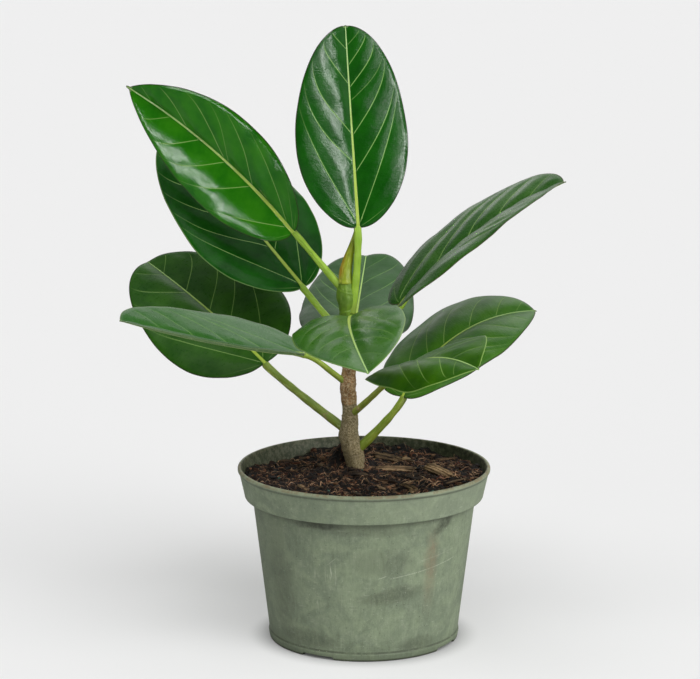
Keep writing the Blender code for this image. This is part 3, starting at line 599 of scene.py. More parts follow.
stem = dict(
    rows=[  # height, x, y and radius, bottom to top
        (72, -5.0, 5.0, 4.6), (98, -5.0, 5.0, 5.0), (107, -5.9, 5.0, 5.2), (114, -7.1, 5.0, 6.0),
        (120, -8.1, 5.0, 5.9), (126, -8.8, 5.0, 5.3), (138, -8.7, 5.0, 4.6), (151, -9.1, 5.0, 4.3),
        (164, -9.2, 5.0, 4.1), (176, -9.6, 5.0, 4.2), (190, -10.1, 5.0, 4.1), (200, -10.3, 5.0, 4.4),
        (208, -10.6, 5.0, 5.2), (216, -11.0, 5.5, 4.2), (223, -11.0, 6.5, 3.8), (231, -9.3, 7.5, 3.0),
        (239, -7.0, 8.3, 1.9), (246, -5.2, 8.8, 1.1), (250, -4.5, 9.0, 0.6)],
    bottom=72, trunkTop=178, shootTop=216, budTop=250, budPoint=1.2, sides=96, step=0.5, overlap=0.8,
    tuck=0.25, hidden=94,  # below this, inside the soil, the rows are far apart
    swell=(-1.5, 4.5, 0.8, 0.42),  # under a petiole: height, how high, how wide, share of its radius
    scars=[(3.2, 0.45, 0.28), (4.1, 0.4, -0.2)],  # a ring and a groove above it: height, how high, size
    scarSag=1.2)  # how much lower they are for each radian away from it


def stemAt(z):  # x, y and radius
    heights, *columns = np.array(stem["rows"]).T
    return [curveThrough(heights, column, z) for column in columns]


def petiolePath(leaf):
    # from the stem's middle to the blade's base, as a Bezier curve
    ahead, _, up = (axis[0] for axis in bladeAxes(leaf, np.zeros(1)))
    end = np.array(leaf["base"]) - up * (leaf["stalk"][1] - 0.4)
    x, y, _ = stemAt(float(leaf["node"]))
    start = np.array([x + leaf["beside"][0], y + leaf["beside"][1], leaf["node"]])
    flat = end - start
    reach = np.linalg.norm(flat)
    outward = direction(math.degrees(math.atan2(flat[1], flat[0])), leaf["exit"])
    leave = start + outward * reach * stalk["leave"]
    arrive = end - ahead * reach * stalk["arrive"]
    t = np.linspace(0, 1, stalk["steps"])[:, None]
    s = 1 - t
    return start * s ** 3 + leave * 3 * s * s * t + arrive * 3 * s * t * t + end * t ** 3


stalk = dict(
    sides=24, steps=60, groove=0.2, grooveWidth=0.45,
    leave=0.33, arrive=0.25,  # how far the curve's handles reach, as shares of the way
    swells=[(0, 0.16, 0.1), (1, 0.05, 0.05)],  # where along it, how long, how much thicker
    knot=7, knotDepth=0.16,
    under=14, underSteps=14)  # it runs on this far beneath the midrib
stemNodes = []  # where each petiole leaves the stem: height, heading and radius
for leaf in leaves.values():
    path = petiolePath(leaf)
    away = path[12] - path[0]
    stemNodes.append((leaf["node"], math.atan2(away[1], away[0]), leaf["stalk"][0]))


def stemPoints(bottom, top, relief):  # rows of points on the skin, and the middle of each row
    z = np.arange(bottom, top + 0.01, stem["step"])
    if bottom < stem["hidden"]:
        z = np.append(np.linspace(bottom, stem["hidden"], 8), z[z > stem["hidden"] + 0.1])
    x, y, radius = stemAt(z)
    heights, turns = np.meshgrid(z, ringTurns(stem["sides"]), indexing="ij")
    grown = radius[:, None] + relief(heights, turns, radius[:, None])
    for height, heading, stalkRadius in stemNodes:
        off = np.abs((turns - heading + np.pi) % math.tau - np.pi)
        above = heights - height
        at, high, wide, size = stem["swell"]
        grown = grown + np.exp(-((above - at) / high) ** 2 - (off / wide) ** 2) * stalkRadius * size
        for at, high, size in stem["scars"]:
            grown = grown + np.exp(-((above - at + stem["scarSag"] * off) / high) ** 2) * size
    points = np.stack([x[:, None] + grown * np.cos(turns), y[:, None] + grown * np.sin(turns), heights], -1)
    return points, np.stack([x, y, z], -1)[:, None]


def skinClouds(heights, turns, radius, size, seed, stretch=1.0):  # soft noise over the stem's skin
    wrap = np.stack([np.cos(turns) * radius, np.sin(turns) * radius, heights * stretch], -1)
    return clouds(wrap, size, seed)


def barkRelief(*at):
    lumps, ridges, grain = skinClouds(*at, 6.5, 5), skinClouds(*at, 1.8, 4, 0.4), skinClouds(*at, 0.8, 6)
    return lumps * 0.8 + ridges * 0.28 + grain * 0.22


def shootRelief(*at):  # long ribs and lumps
    return skinClouds(*at, 2.2, 7, 0.16) * 0.4 + skinClouds(*at, 4, 8) * 0.35


def budRelief(heights, turns, radius):
    # the sheath's overlapping edge winds up it, over faint long ribs
    rise = (heights - stem["shootTop"]) / (stem["budTop"] - stem["shootTop"])
    fade = np.clip(radius / 3.5, 0, 1)
    seam = (turns + 2.1 - rise * 1.2 + np.pi) % math.tau - np.pi
    edge = np.where(seam > 0, np.exp(-(seam / 0.5) ** 2), np.exp(-(seam / 0.08) ** 2)) * 0.35
    ribs = np.cos(turns * 9 + rise * 3) * 0.06
    ring = np.exp(-((heights - 217.2) / 0.6) ** 2) * 0.12 - np.exp(-((heights - 218.4) / 0.5) ** 2) * 0.1
    return (edge + ribs) * fade + ring


def makeStem(name, bottom, top, relief, finish, node):
    pointed = top == stem["budTop"]
    if not pointed:  # the last rows go in, under the piece above
        top += stem["overlap"]
    points, middle = stemPoints(bottom, top, relief)
    if pointed:
        inwards = smooth(middle[..., 2:], top - stem["budPoint"], top) ** 2 * 0.93
    else:
        inwards = smooth(middle[..., 2:], top - stem["overlap"], top) * stem["tuck"]
    points = middle + (points - middle) * (1 - inwards)
    addPiece(name, points.reshape(-1, 3), tubeFaces(len(points), stem["sides"]), [finish], [node])


def barkFinish():
    look = Finish("bark", {"IOR": 1.4})
    at = look.place()
    _, _, z = look.parts(at)
    warped = look.warped(at, 2.5, 1.6)
    squashed = look.scaled(warped, (1, 1, 0.7))
    net = look.cells(squashed, 1.15)
    patches = look.clouds(at, 6, 4, 0.6)
    grain = look.clouds(squashed, 0.75, 4, 0.7)
    worms = abs(look.clouds(warped, 1.9, 2, 0.5) - 0.5)
    uneven = z + patches * 4
    low = look.layered(
        look.mix(patches.rising(0.3, 0.7), (0.24, 0.188, 0.088), (0.35, 0.28, 0.145)),
        (z.rising(106, 134) * 0.45, (0.1, 0.085, 0.04)))
    high = look.mix(patches.rising(0.3, 0.7), (0.19, 0.1, 0.034), (0.34, 0.2, 0.085))
    brown = look.layered(
        look.mix(uneven.rising(143.5, 145.5), low, high),  # grey below, browner above
        (net.falling(0.0, 0.12) * 0.5, (0.06, 0.045, 0.022)),
        (worms.falling(0.01, 0.06) * 0.6, (0.5, 0.42, 0.26)),
        (grain.falling(0.32, 0.46) * 0.6, (0.05, 0.033, 0.016)),
        (abs(uneven - 144).falling(0.2, 0.9) * 0.5, (0.07, 0.04, 0.02)),
        (look.clouds(at, 2.2, 2).rising(0.64, 0.74) * z.rising(138, 150) * 0.6, (0.07, 0.03, 0.014)),
        (z.falling(98, 103) * 0.3, (0.06, 0.042, 0.024)))
    bumps = grain * 0.6 + net.rising(0, 0.15) * 0.3 - worms.falling(0, 0.05) * 0.2
    return look.paint({
        "Base Color": brown, "Roughness": 0.6 + 0.3 * patches, "Normal": look.relief(bumps, 0.3)})


def shootFinish():
    look = Finish("shoot_skin", {"IOR": 1.45})
    at = look.place()
    _, _, z = look.parts(at)
    patches = look.clouds(at, 6, 3, 0.5)
    fibres = look.clouds(look.scaled(at, (1, 1, 0.12)), 0.9, 3, 0.6)
    rust = look.clouds(look.scaled(at, (1, 1, 4)), 3.2, 4, 0.7).rising(0.62, 0.76)
    low = look.mix(patches, (0.06, 0.125, 0.006), (0.11, 0.19, 0.012))
    high = look.mix(patches.rising(0.3, 0.7), (0.075, 0.165, 0.005), (0.13, 0.245, 0.012))
    green = look.layered(
        look.mix(z.rising(180, 200), low, high),
        (fibres.rising(0.5, 0.75) * 0.4, (0.34, 0.46, 0.12)),
        (rust * 0.3, (0.22, 0.15, 0.05)))
    return look.paint({
        "Base Color": green, "Roughness": 0.35 + 0.25 * fibres, "Normal": look.relief(fibres, 0.2)})


def budFinish():
    look = Finish("bud_skin", {"Roughness": 0.42, "IOR": 1.45, "Coat Weight": 0.15, "Coat Roughness": 0.25})
    at = look.place()
    x, _, z = look.parts(at)
    patches = look.clouds(at, 5, 3, 0.5)
    fibres = look.clouds(look.scaled(at, (1, 1, 0.14)), 0.8, 3, 0.6)
    blush = (x + 16 - (z - stem["shootTop"]) * 0.17 + (patches - 0.5) * 3).falling(0, 3.6)
    green = look.layered(
        look.mix(patches.rising(0.3, 0.7), (0.2, 0.28, 0.006), (0.34, 0.4, 0.02)),
        (blush * z.rising(217, 222) * 0.8, (0.42, 0.2, 0.008)),
        (fibres.rising(0.45, 0.75) * 0.3, (0.5, 0.5, 0.16)))
    return look.paint({"Base Color": green, "Normal": look.relief(fibres, 0.14)})


makeStem("trunk_bark", stem["bottom"], stem["trunkTop"], barkRelief, barkFinish(), "trunk")
makeStem("green_shoot", stem["trunkTop"], stem["shootTop"], shootRelief, shootFinish(), "shoot")
makeStem("sheathed_bud", stem["shootTop"], stem["budTop"], budRelief, budFinish(), "bud_sheath")
print("stage: stem")


def stalkShape(turn, share):  # a groove along the top, from a little way out
    off = (turn + np.pi) % math.tau - np.pi
    groove = stalk["groove"] * np.exp(-(off / stalk["grooveWidth"]) ** 2)
    return 1 - groove * smooth(share, 0.12, 0.4)


def makePetiole(place, number, leaf, finish):
    path = petiolePath(leaf)
    _, _, up = bladeAxes(leaf, np.zeros(1))
    thick, thin = leaf["stalk"]
    share = np.linspace(0, 1, len(path))
    thicker = 1
    for at, spread, size in stalk["swells"]:
        thicker = thicker + size * np.exp(-((share - at) / spread) ** 2)
    radii = (thin + (thick - thin) * (1 - share) ** 2) * thicker
    # runs on under the midrib, getting thinner
    reach = np.arange(1, stalk["underSteps"] + 1) / stalk["underSteps"]
    t = reach * stalk["under"] / leaf["length"]
    slim = thin * (1 - 0.75 * reach)
    _, _, lift = bladeAxes(leaf, t)
    path = np.vstack([path, onMidrib(leaf, t) - lift * (slim + 0.15 - 0.55 * (1 - reach))[:, None]])
    radii = np.append(radii, slim)
    knots = clouds(path + number * 30, stalk["knot"], 9) * stalk["knotDepth"]
    points = tubePoints(path, radii * (1 + knots), stalk["sides"], up[0], stalkShape)
    # where each point lies: its side of the stalk and its distance along it
    length = np.append(0, np.cumsum(np.linalg.norm(np.diff(path, axis=0), axis=1)))[:, None]
    turn = ringTurns(stalk["sides"])
    spots = np.stack(np.broadcast_arrays(np.cos(turn)[None], length, np.sin(turn)[None]), -1)
    addPiece(f"{place}_petiole", points.reshape(-1, 3), tubeFaces(len(path), stalk["sides"]), [finish],
             [f"leaf_{place}_petiole"], {"stalk": spots})


def stalkFinish():
    look = Finish("petiole_skin", {"IOR": 1.45, "Coat Weight": 0.15, "Coat Roughness": 0.3})
    at = look.place()
    _, _, z = look.parts(at)
    around = look.mark("stalk")
    top, length, _ = look.parts(around)
    patches = look.clouds(at, 8, 3, 0.5)
    fibres = look.clouds(look.scaled(around, (2.2, 0.12, 2.2)), 0.6, 3, 0.6)
    low = look.mix(patches.rising(0.3, 0.7), (0.15, 0.205, 0.012), (0.25, 0.3, 0.03))
    high = look.mix(patches.rising(0.3, 0.7), (0.26, 0.46, 0.02), (0.38, 0.6, 0.05))
    scar = look.clouds(at, 9, 3, 0.6).rising(0.66, 0.72) * length.falling(24, 36)
    green = look.layered(
        look.mix(z.rising(150, 200), low, high),
        (top.rising(0.6, 0.97) * 0.3, (0.15, 0.3, 0.015)),
        # painted shade: the underside of each stalk is darker and browner
        (top.falling(-0.95, -0.1) * 0.45, (0.16, 0.17, 0.025)),
        (fibres.rising(0.45, 0.75) * 0.35, (0.42, 0.54, 0.12)),
        (look.cells(at, 1.6, "F1").falling(0.08, 0.2) * 0.25, (0.5, 0.55, 0.25)),
        (length.falling(3.5, 10) * 0.5, (0.13, 0.17, 0.02)),
        (scar * 0.6, look.mix(look.clouds(at, 1.0, 2), (0.2, 0.1, 0.04), (0.55, 0.42, 0.22))))
    return look.paint({
        "Base Color": green, "Roughness": 0.33 + 0.2 * fibres, "Normal": look.relief(fibres, 0.12)})


petioleLook = stalkFinish()
for number, (place, leaf) in enumerate(leaves.items()):
    makePetiole(place, number, leaf, petioleLook)
print("stage: petioles")


pot = dict(
    height=105.6, rim=76, bandTop=75.1, bandLow=71.9, bandLowZ=88, wallTop=67.1, base=57.2, stepZ=5,
    step=0.6, wall=1.6, lip=2.8, lipWidth=2.4, corner=1.5, floorZ=2.2, floor=1.8, foot=3.4, pad=15,
    ledge=1.4,  # how far the inside step lies above the band's lower edge
    sides=288, notches=4, notchAngle=-119, notchWidth=21, notchHeight=2, drain=4.2, drainCircle=43,
    drains=8, sharp=35, warps=[(2, 0.12, 0.6), (3, 0.08, 2)],  # lobes round it, size and phase
    # radii: of the foot ring, the bead above it, the band's lower corners, the lip's lower edge and the lip
    footRound=0.9, beadRound=0.5, bandRound=0.7, lipEdge=0.9, lipRound=1.2)


def arc(center, radius, start, end, count):
    turns = np.radians(np.linspace(start, end, count))
    return [(center[0] + radius * math.cos(t), center[1] + radius * math.sin(t)) for t in turns]


def line(start, end, count):  # without its ends
    return [tuple(np.array(start) + (np.array(end) - start) * k / count) for k in range(1, count)]


def potProfile():
    # radius and height: from the centre pad outwards, up the wall, over the lip and down the inside
    base, wallTop, bandTop, bandLow, rim = (pot[k] for k in ("base", "wallTop", "bandTop", "bandLow", "rim"))
    height, lipZ, bandZ, stepZ = pot["height"], pot["height"] - pot["lip"], pot["bandLowZ"], pot["stepZ"]
    wall, corner, foot = pot["wall"], pot["corner"], base - pot["foot"]
    ledge, floorZ, floorTop = bandZ + pot["ledge"], pot["floorZ"], pot["floorZ"] + pot["floor"]
    footRound, beadRound, bandRound = pot["footRound"], pot["beadRound"], pot["bandRound"]
    lipEdge, lipRound = pot["lipEdge"], pot["lipRound"]
    out = [(pot["pad"], 0), (pot["pad"] + floorZ, floorZ)]
    out += line(out[-1], (foot - 1.1, floorZ), 6)
    out += [(foot - 1.1, floorZ), (foot, 0.25), (foot + 0.4, 0)]
    out += line(out[-1], (base - 1.2, 0), 3)
    out += arc((base - footRound, footRound), footRound, -90, -10, 6)
    out += line(out[-1], (base + pot["step"], stepZ - 1.2), 4)
    out += arc((base + pot["step"] - beadRound, stepZ - 0.9), beadRound, 0, 80, 5)
    out += [(base + 0.05, stepZ + 0.2)]
    out += line(out[-1], (wallTop, bandZ - 1.4), 30)
    out += arc((wallTop + bandRound, bandZ - 1.3), bandRound, 180, 90, 5)
    out += arc((bandLow - bandRound, bandZ + 0.1), bandRound, -90, 0, 6)
    out += line((bandLow, bandZ + 0.1), (bandTop, lipZ - 0.3), 9)
    out += [(bandTop, lipZ - 0.3)]
    out += arc((rim - lipEdge, lipZ + lipEdge), lipEdge, -60, 0, 4)
    out += arc((rim - lipRound, height - lipRound), lipRound, 0, 180, 14)
    out += line((rim - pot["lipWidth"], height - 1.3), (bandLow - wall, ledge), 6)
    out += [(bandLow - wall, ledge), (wallTop - wall, ledge - 0.6)]
    out += line(out[-1], (base - wall, floorTop + corner), 6)
    return out + [(base - wall, floorTop + corner), (base - wall - corner, floorTop)]


def potTurns():  # angles round the pot, with close groups where the notches' sides stand
    turns = list(np.arange(pot["sides"]) * 360 / pot["sides"])
    side = math.degrees(math.asin(pot["notchWidth"] / 2 / pot["base"]))
    for k in range(pot["notches"]):
        for sign in (-1, 1):
            middle = pot["notchAngle"] + 360 / pot["notches"] * k + sign * side
            turns += [(middle + d) % 360 for d in (-0.7, -0.35, 0, 0.35, 0.7)]
    return np.array(sorted(turns)), side


def makePot(finish):
    turns, side = potTurns()
    profile = np.array(potProfile())
    lift = np.zeros(len(turns))  # 1 over the middle of a notch, 0 beside it
    for k in range(pot["notches"]):
        off = np.abs((turns - pot["notchAngle"] - 360 / pot["notches"] * k + 180) % 360 - 180)
        lift = np.maximum(lift, 1 - smooth(off, side - 0.5, side + 0.5))
    turns = np.radians(turns)
    columns = len(turns)
    radius = np.broadcast_to(profile[:, :1], (len(profile), columns))
    z = np.broadcast_to(profile[:, 1:], radius.shape)
    foot = (radius > pot["base"] - pot["foot"] - 1) & (z < pot["notchHeight"])
    z = np.where(foot, np.maximum(z, pot["notchHeight"] * lift), z)
    # the moulding isn't quite round towards its top
    warp = sum(size * np.sin(lobes * turns + phase) for lobes, size, phase in pot["warps"])
    radius = radius * (1 + warp * smooth(z, 20, 105) / 75 * 1.2)
    points = np.stack([radius * np.cos(turns), radius * np.sin(turns), z], -1).reshape(-1, 3)
    # the two middles: of the underside and of the inner floor
    points = np.vstack([points, [(0, 0, 0), (0, 0, pot["floorZ"] + pot["floor"])]])
    faces = gridFaces(len(profile), columns, closed=True)
    last = (len(profile) - 1) * columns
    for k in range(columns):
        n = (k + 1) % columns
        faces.append([n, k, len(points) - 2])
        faces.append([last + k, last + n, len(points) - 1])
    cutDrains(addPiece("nursery_pot", points, faces, [finish], ["pot"]))


def cutDrains(piece):
    cutters = []
    for k in range(pot["drains"]):
        turn = math.radians(pot["notchAngle"] + 360 * k / pot["drains"])
        spot = Vector((math.cos(turn), math.sin(turn), 0)) * pot["drainCircle"] * mm
        bpy.ops.mesh.primitive_cylinder_add(vertices=32, radius=pot["drain"] * mm, depth=0.02, location=spot)
        cutters.append(bpy.context.object)
    bpy.ops.object.select_all(action="DESELECT")
    for cutter in cutters:
        cutter.select_set(True)
    bpy.context.view_layer.objects.active = cutters[0]
    bpy.ops.object.join()
    cutter = bpy.context.object
    holes = piece.modifiers.new("drains", "BOOLEAN")
    holes.operation = "DIFFERENCE"
    holes.object = cutter
    holes.solver = "EXACT"
    bpy.context.view_layer.update()
    mesh = bpy.data.meshes.new_from_object(piece.evaluated_get(bpy.context.evaluated_depsgraph_get()))
    piece.modifiers.clear()
    piece.data = mesh
    mesh.set_sharp_from_angle(angle=math.radians(pot["sharp"]))
    bpy.data.objects.remove(cutter, do_unlink=True)


potSkin = dict(
    dull=(0.17, 0.213, 0.138), fresh=(0.23, 0.285, 0.178), pale=(0.31, 0.36, 0.25), dark=(0.095, 0.12, 0.072),
    dust=(0.46, 0.5, 0.38), stain=(0.225, 0.165, 0.098), dirtAndShade=(0.035, 0.038, 0.024),
    insideDark=(0.035, 0.042, 0.018), insidePale=(0.12, 0.125, 0.075), speck=(0.5, 0.52, 0.42),
    worn=(0.32, 0.34, 0.22), rust=(0.2, 0.13, 0.06),
    # darker patches: mm round the wall from the front, height, half width, half height, lean and strength
    darkPatches=[(-27, 84.5, 15, 3, 0, 0.8), (51, 82, 8, 5, 0.5, 0.8), (17, 41, 22, 5.5, 0.14, 0.55),
             (0, 82, 30, 4, 0, 0.35), (-38, 12, 24, 6, 0, 0.5), (38, 9, 14, 5, 0, 0.5),
             (-58, 45, 12, 40, 0, 0.35), (12, 62, 22, 9, 0, 0.3)],
    # thin pale scratches: mm round the wall and height of its start, its run, slope (rise per mm), strength
    scratches=[(15, 52, 50, 0.13, 0.5), (34, 61, 30, 0.12, 0.25), (-22, 60, 7, 0.9, 0.4),
               (8, 52, 7, 0.35, 0.6)])


def potFinish():
    look = Finish("pot_plastic", {"IOR": 1.45})
    at = look.place()
    x, y, z = look.parts(at)
    radius = (x * x + y * y) ** 0.5
    around = x.math("ARCTAN2", y * -1) * 64  # mm round the wall: 0 at the front, seam at the back
    wall = look.add("CombineXYZ", {}, (around, z, radius * 0.5))
    patches = look.clouds(wall, 20, 5, 0.68, 0.7)
    blotches = look.clouds(look.scaled(wall, (1, 0.6, 1)), 6, 6, 0.72, 0.4)
    brushed = look.clouds(look.scaled(wall, (1, 0.16, 1)), 1.5, 4, 0.7)
    mottle = look.clouds(look.scaled(wall, (1, 0.7, 1)), 2.2, 5, 0.75)
    grain = look.clouds(at, 0.8, 4, 0.7)
    wobble = (look.clouds(wall, 9, 5, 0.7) - 0.5) * 14
    pale, dark, dust, dirtAndShade = (potSkin[name] for name in ("pale", "dark", "dust", "dirtAndShade"))
    # dusty upright scratches, thickest left of the front, and short level scuffs
    upright = look.clouds(look.scaled(wall, (1, 0.035, 1)), 0.8, 3, 0.6).rising(0.56, 0.68)
    where = look.clouds(look.scaled(wall, (1, 0.4, 1)), 14, 3).rising(0.36, 0.55)
    centre = abs(around + 24).falling(2, 13) * abs(z - 47).falling(6, 22) * 0.9 + 0.1
    scuffs = look.clouds(look.scaled(wall, (0.14, 1, 1)), 0.7, 3, 0.6).rising(0.6, 0.7)
    wearAndPaintedLight = [
        (blotches.rising(0.5, 0.7) * 0.35, pale), (blotches.falling(0.3, 0.48) * 0.22, dark),
        (brushed.falling(0.34, 0.5) * 0.2, dark), (brushed.rising(0.54, 0.68) * 0.22, pale),
        (mottle.falling(0.34, 0.5) * 0.26, dark), (mottle.rising(0.53, 0.66) * 0.25, pale),
        (grain.rising(0.58, 0.72) * 0.42, dust), (grain.falling(0.3, 0.42) * 0.42, dark),
        # painted shade: the left side below the band is darker
        (around.falling(-75, -15) * z.falling(84, 92) * 0.3, dark),
        (upright * where * centre * z.falling(80, 88) * 0.9, dust),
        (scuffs * blotches.rising(0.4, 0.6) * 0.35, dust)]
    for start, foot, run, slope, strength in potSkin["scratches"]:
        off = abs(z - foot - (around - start) * slope + wobble * 0.06)
        within = around.rising(start, start + 2) * around.falling(start + run - 3, start + run)
        wearAndPaintedLight.append((off.falling(0.1, 0.42) * within * grain.rising(0.3, 0.5) * strength, dust))
    # a brown stain that has run down the right side
    stain = abs(around - 43 + wobble * 0.5).falling(0.5, 7) * (z + wobble).falling(64, 86) * z.rising(20, 62)
    wearAndPaintedLight.append((stain * mottle.rising(0.25, 0.6) * 0.6, potSkin["stain"]))
    for spotAround, spotZ, wide, high, lean, strength in potSkin["darkPatches"]:
        beside = around - spotAround
        above = z - spotZ - beside * lean
        spot = ((beside + wobble) / wide) ** 2 + ((above + wobble * 0.4) / high) ** 2
        wearAndPaintedLight.append((spot.falling(0.0, 1.4) * mottle.rising(0.2, 0.65) * strength, dirtAndShade))
    # painted shade in a dark line under the band and along the bead's step, and a few specks
    under = (z - 88 + wobble * 0.1).falling(-2.5, 0.3) * z.rising(82, 87) * radius.falling(71, 71.5)
    bead = abs(z - 5.3).falling(0.2, 1.0) * blotches.rising(0.3, 0.55)
    specks = look.cells(at, 3.1, "F1").falling(0.04, 0.11) * look.clouds(at, 9, 1).rising(0.45, 0.6)
    dots = look.cells(look.moved(at, (40, 7, 3)), 4.1, "F1").falling(0.03, 0.1)
    # the lip is worn paler with rusty patches, a dark line runs in the groove under it, and the inside is
    # dark and mottled
    lip = z.rising(103.6, 104.6) * radius.rising(72.5, 73.2)
    inside = (radius - (z - 88) * 0.182).falling(70.9, 71.4) * z.rising(88, 90)
    wearAndPaintedLight += [
        # painted light: from the band's lower edge up, the pot grows paler towards the right
        (z.rising(87.5, 88.5) * around.rising(-60, 60) * 0.3, pale),
        # painted shade under the band
        (under * 0.55, dirtAndShade),
        # darker towards the bottom
        ((z + wobble * 0.4).falling(2, 14) * 0.35, dark),
        # painted shade along the bead's step, broken up by the blotches
        (bead * 0.55, dirtAndShade),
        # painted shade: a dark contact line at the foot's lowest edge
        (z.falling(0.6, 1.9) * 0.75, dirtAndShade),
        (specks * 0.6, potSkin["speck"]),
        (dots * 0.7, dirtAndShade),
        (lip * (0.25 + 0.5 * mottle), potSkin["worn"]),
        (lip * blotches.rising(0.45, 0.6) * 0.6, potSkin["rust"]),
        (z.rising(101.8, 102.6) * z.falling(103.2, 104.0) * 0.5, dirtAndShade),
        (inside * 0.93, look.mix(mottle.rising(0.42, 0.6), potSkin["insideDark"], potSkin["insidePale"]))]
    plain = look.mix(patches.rising(0.38, 0.62), potSkin["dull"], potSkin["fresh"])
    return look.paint({
        "Base Color": look.layered(plain, *wearAndPaintedLight),
        "Roughness": 0.5 + 0.25 * (blotches - 0.3),
        "Normal": look.relief(grain * 0.5 + upright * 0.15 + blotches * 0.6, 0.16)})


makePot(potFinish())
print("stage: pot")


soil = dict(
    level=101.0,
    lumps=[(0.5, 0.21, 0.0, 1.0), (0.4, 0.37, -0.31, 0.0)],  # height, waves on x and y, phase
    # humps: x, y, width and height
    humps=[(-45, 40, 30, -6.0), (50, 45, 26, -2.5), (-11, 19, 11, 14.0), (-5, 2, 15, 1.5)],
    rough=[(9, 1.7), (4, 1.6), (1.8, 0.9)],  # size and height of the crumbly relief
    sides=300, rings=96, crowding=1.15,  # above 1, the rings are closer together at the edge
    edgeZ=98,  # where the top meets the wall
    reach=71.5,  # how far from the middle anything loose lies
    chips=190, chipSeed=5, chipReach=70, tornLength=10, strips=7, crumbs=1500, crumbSeed=8,
    fibres=2500, fibreSeed=3, fibreSteps=8, fibreReach=69, granules=12, granuleSeed=6, granuleReach=69)


def soilHeight(x, y):
    height = soil["level"]
    for size, alongX, alongY, phase in soil["lumps"]:
        height = height + size * np.sin(alongX * x + alongY * y + phase)
    for atX, atY, spread, size in soil["humps"]:
        height = height + size * np.exp(-((x - atX) ** 2 + (y - atY) ** 2) / spread ** 2)
    return height


def soilTop(x, y):  # with the crumbly relief, as arrays
    x, y = np.atleast_1d(np.asarray(x, float)), np.atleast_1d(np.asarray(y, float))
    height = soilHeight(x, y)
    for k, (size, rise) in enumerate(soil["rough"]):
        height = height + clouds(np.stack([x, y, np.zeros_like(x)], -1), size, 20 + k) * rise
    return height


def onSoil(x, y, lift):
    return np.array([x, y, float(soilTop(x, y)[0]) + lift])


def innerRadius(z):  # of the pot, less a little clearance
    ledge = pot["bandLowZ"] + pot["ledge"]
    if z > ledge:
        low, high = pot["bandLow"] - pot["wall"], pot["rim"] - pot["lipWidth"]
        return low + (high - low) * (z - ledge) / (pot["height"] - pot["lipRound"] - ledge) - 0.3
    floorTop = pot["floorZ"] + pot["floor"] + pot["corner"]
    low, high = pot["base"] - pot["wall"], pot["wallTop"] - pot["wall"]
    return low + (high - low) * (z - floorTop) / (ledge - 0.6 - floorTop) - 0.5


def makeSoil(finish):
    sides = soil["sides"]
    cosines, sines = np.cos(ringTurns(sides)), np.sin(ringTurns(sides))
    rings = []
    floor = pot["floorZ"] + pot["floor"] + 0.3
    for radius, z in ((innerRadius(8) - 2, floor), (innerRadius(8), 8), (innerRadius(40), 40),
                      (innerRadius(88.8), 88.8), (innerRadius(90.5) - 0.6, 90.2)):
        rings.append(np.stack([radius * cosines, radius * sines, np.full(sides, z)], -1))
    edge = innerRadius(soil["edgeZ"])
    for share in 1 - np.linspace(0, 1, soil["rings"])[:-1] ** soil["crowding"]:
        x, y = edge * share * cosines, edge * share * sines
        rings.append(np.stack([x, y, soilTop(x, y)], -1))
    faces = gridFaces(len(rings), sides, closed=True) + [list(range(sides))[::-1]]
    last = (len(rings) - 1) * sides
    points = np.vstack([*rings, onSoil(0, 0, 0)])
    for k in range(sides):
        faces.append([last + k, last + (k + 1) % sides, len(points) - 1])
    addPiece("potting_soil", points, faces, [finish], ["soil"])


def turned(points, heading, tilt=0.0, roll=0.0):
    for angle, (a, b) in ((roll, (1, 2)), (tilt, (2, 0)), (heading, (0, 1))):
        c, s = math.cos(angle), math.sin(angle)
        points[:, a], points[:, b] = points[:, a] * c - points[:, b] * s, points[:, a] * s + points[:, b] * c
    return points


def spotWithin(draw, reach):  # a random place on a disc
    away = reach * math.sqrt(draw.random())
    turn = draw.uniform(0, math.tau)
    return away * math.cos(turn), away * math.sin(turn)


def smallBall(subdivisions):  # points and faces, of radius 1
    shape = bmesh.new()
    bmesh.ops.create_icosphere(shape, subdivisions=subdivisions, radius=1)
    points = np.array([v.co[:] for v in shape.verts])
    faces = [[v.index for v in f.verts] for f in shape.faces]
    shape.free()
    return points, faces


flake = dict(
    stations=9,
    section=[(-1, 0.15), (-0.72, 1), (-0.1, 0.8), (0.55, 1.05), (1, 0.2), (0.6, -1), (-0.6, -1)])


def splinter(draw, length, width, thick, bow):
    # a split flake of bark: a ragged flat bar with a grain along it
    points = []
    for k in range(flake["stations"]):
        along = k / (flake["stations"] - 1) * 2 - 1
        taper = (1 - abs(along) ** draw.uniform(2.5, 5)) * 0.75 + 0.25
        taper *= draw.uniform(0.85, 1.1)
        shift = draw.uniform(-0.07, 0.07) * width
        for side, height in flake["section"]:
            points.append((
                along * length / 2 + draw.uniform(-0.04, 0.04) * length,
                side * width / 2 * taper + shift,
                height * thick / 2 * (0.6 + 0.4 * taper) * draw.uniform(0.8, 1.15) + bow * (1 - along ** 2)))
    return np.array(points), tubeFaces(flake["stations"], len(flake["section"]))


def addLoose(name, parts, finish, sharp=None):
    # joins parts on the soil into one piece: each has its points, faces, tone (the same all over) and grain
    faces = []
    first = 0
    for points, partFaces, _, _ in parts:
        faces += [[first + corner for corner in face] for face in partFaces]
        first += len(points)
    marks = {"tone": np.vstack([np.tile(tone, (len(points), 1)) for points, _, tone, _ in parts]),
             "grain": np.vstack([grain for _, _, _, grain in parts])}
    addPiece(name, np.vstack([part[0] for part in parts]), faces, [finish], (), marks, sharp=sharp)
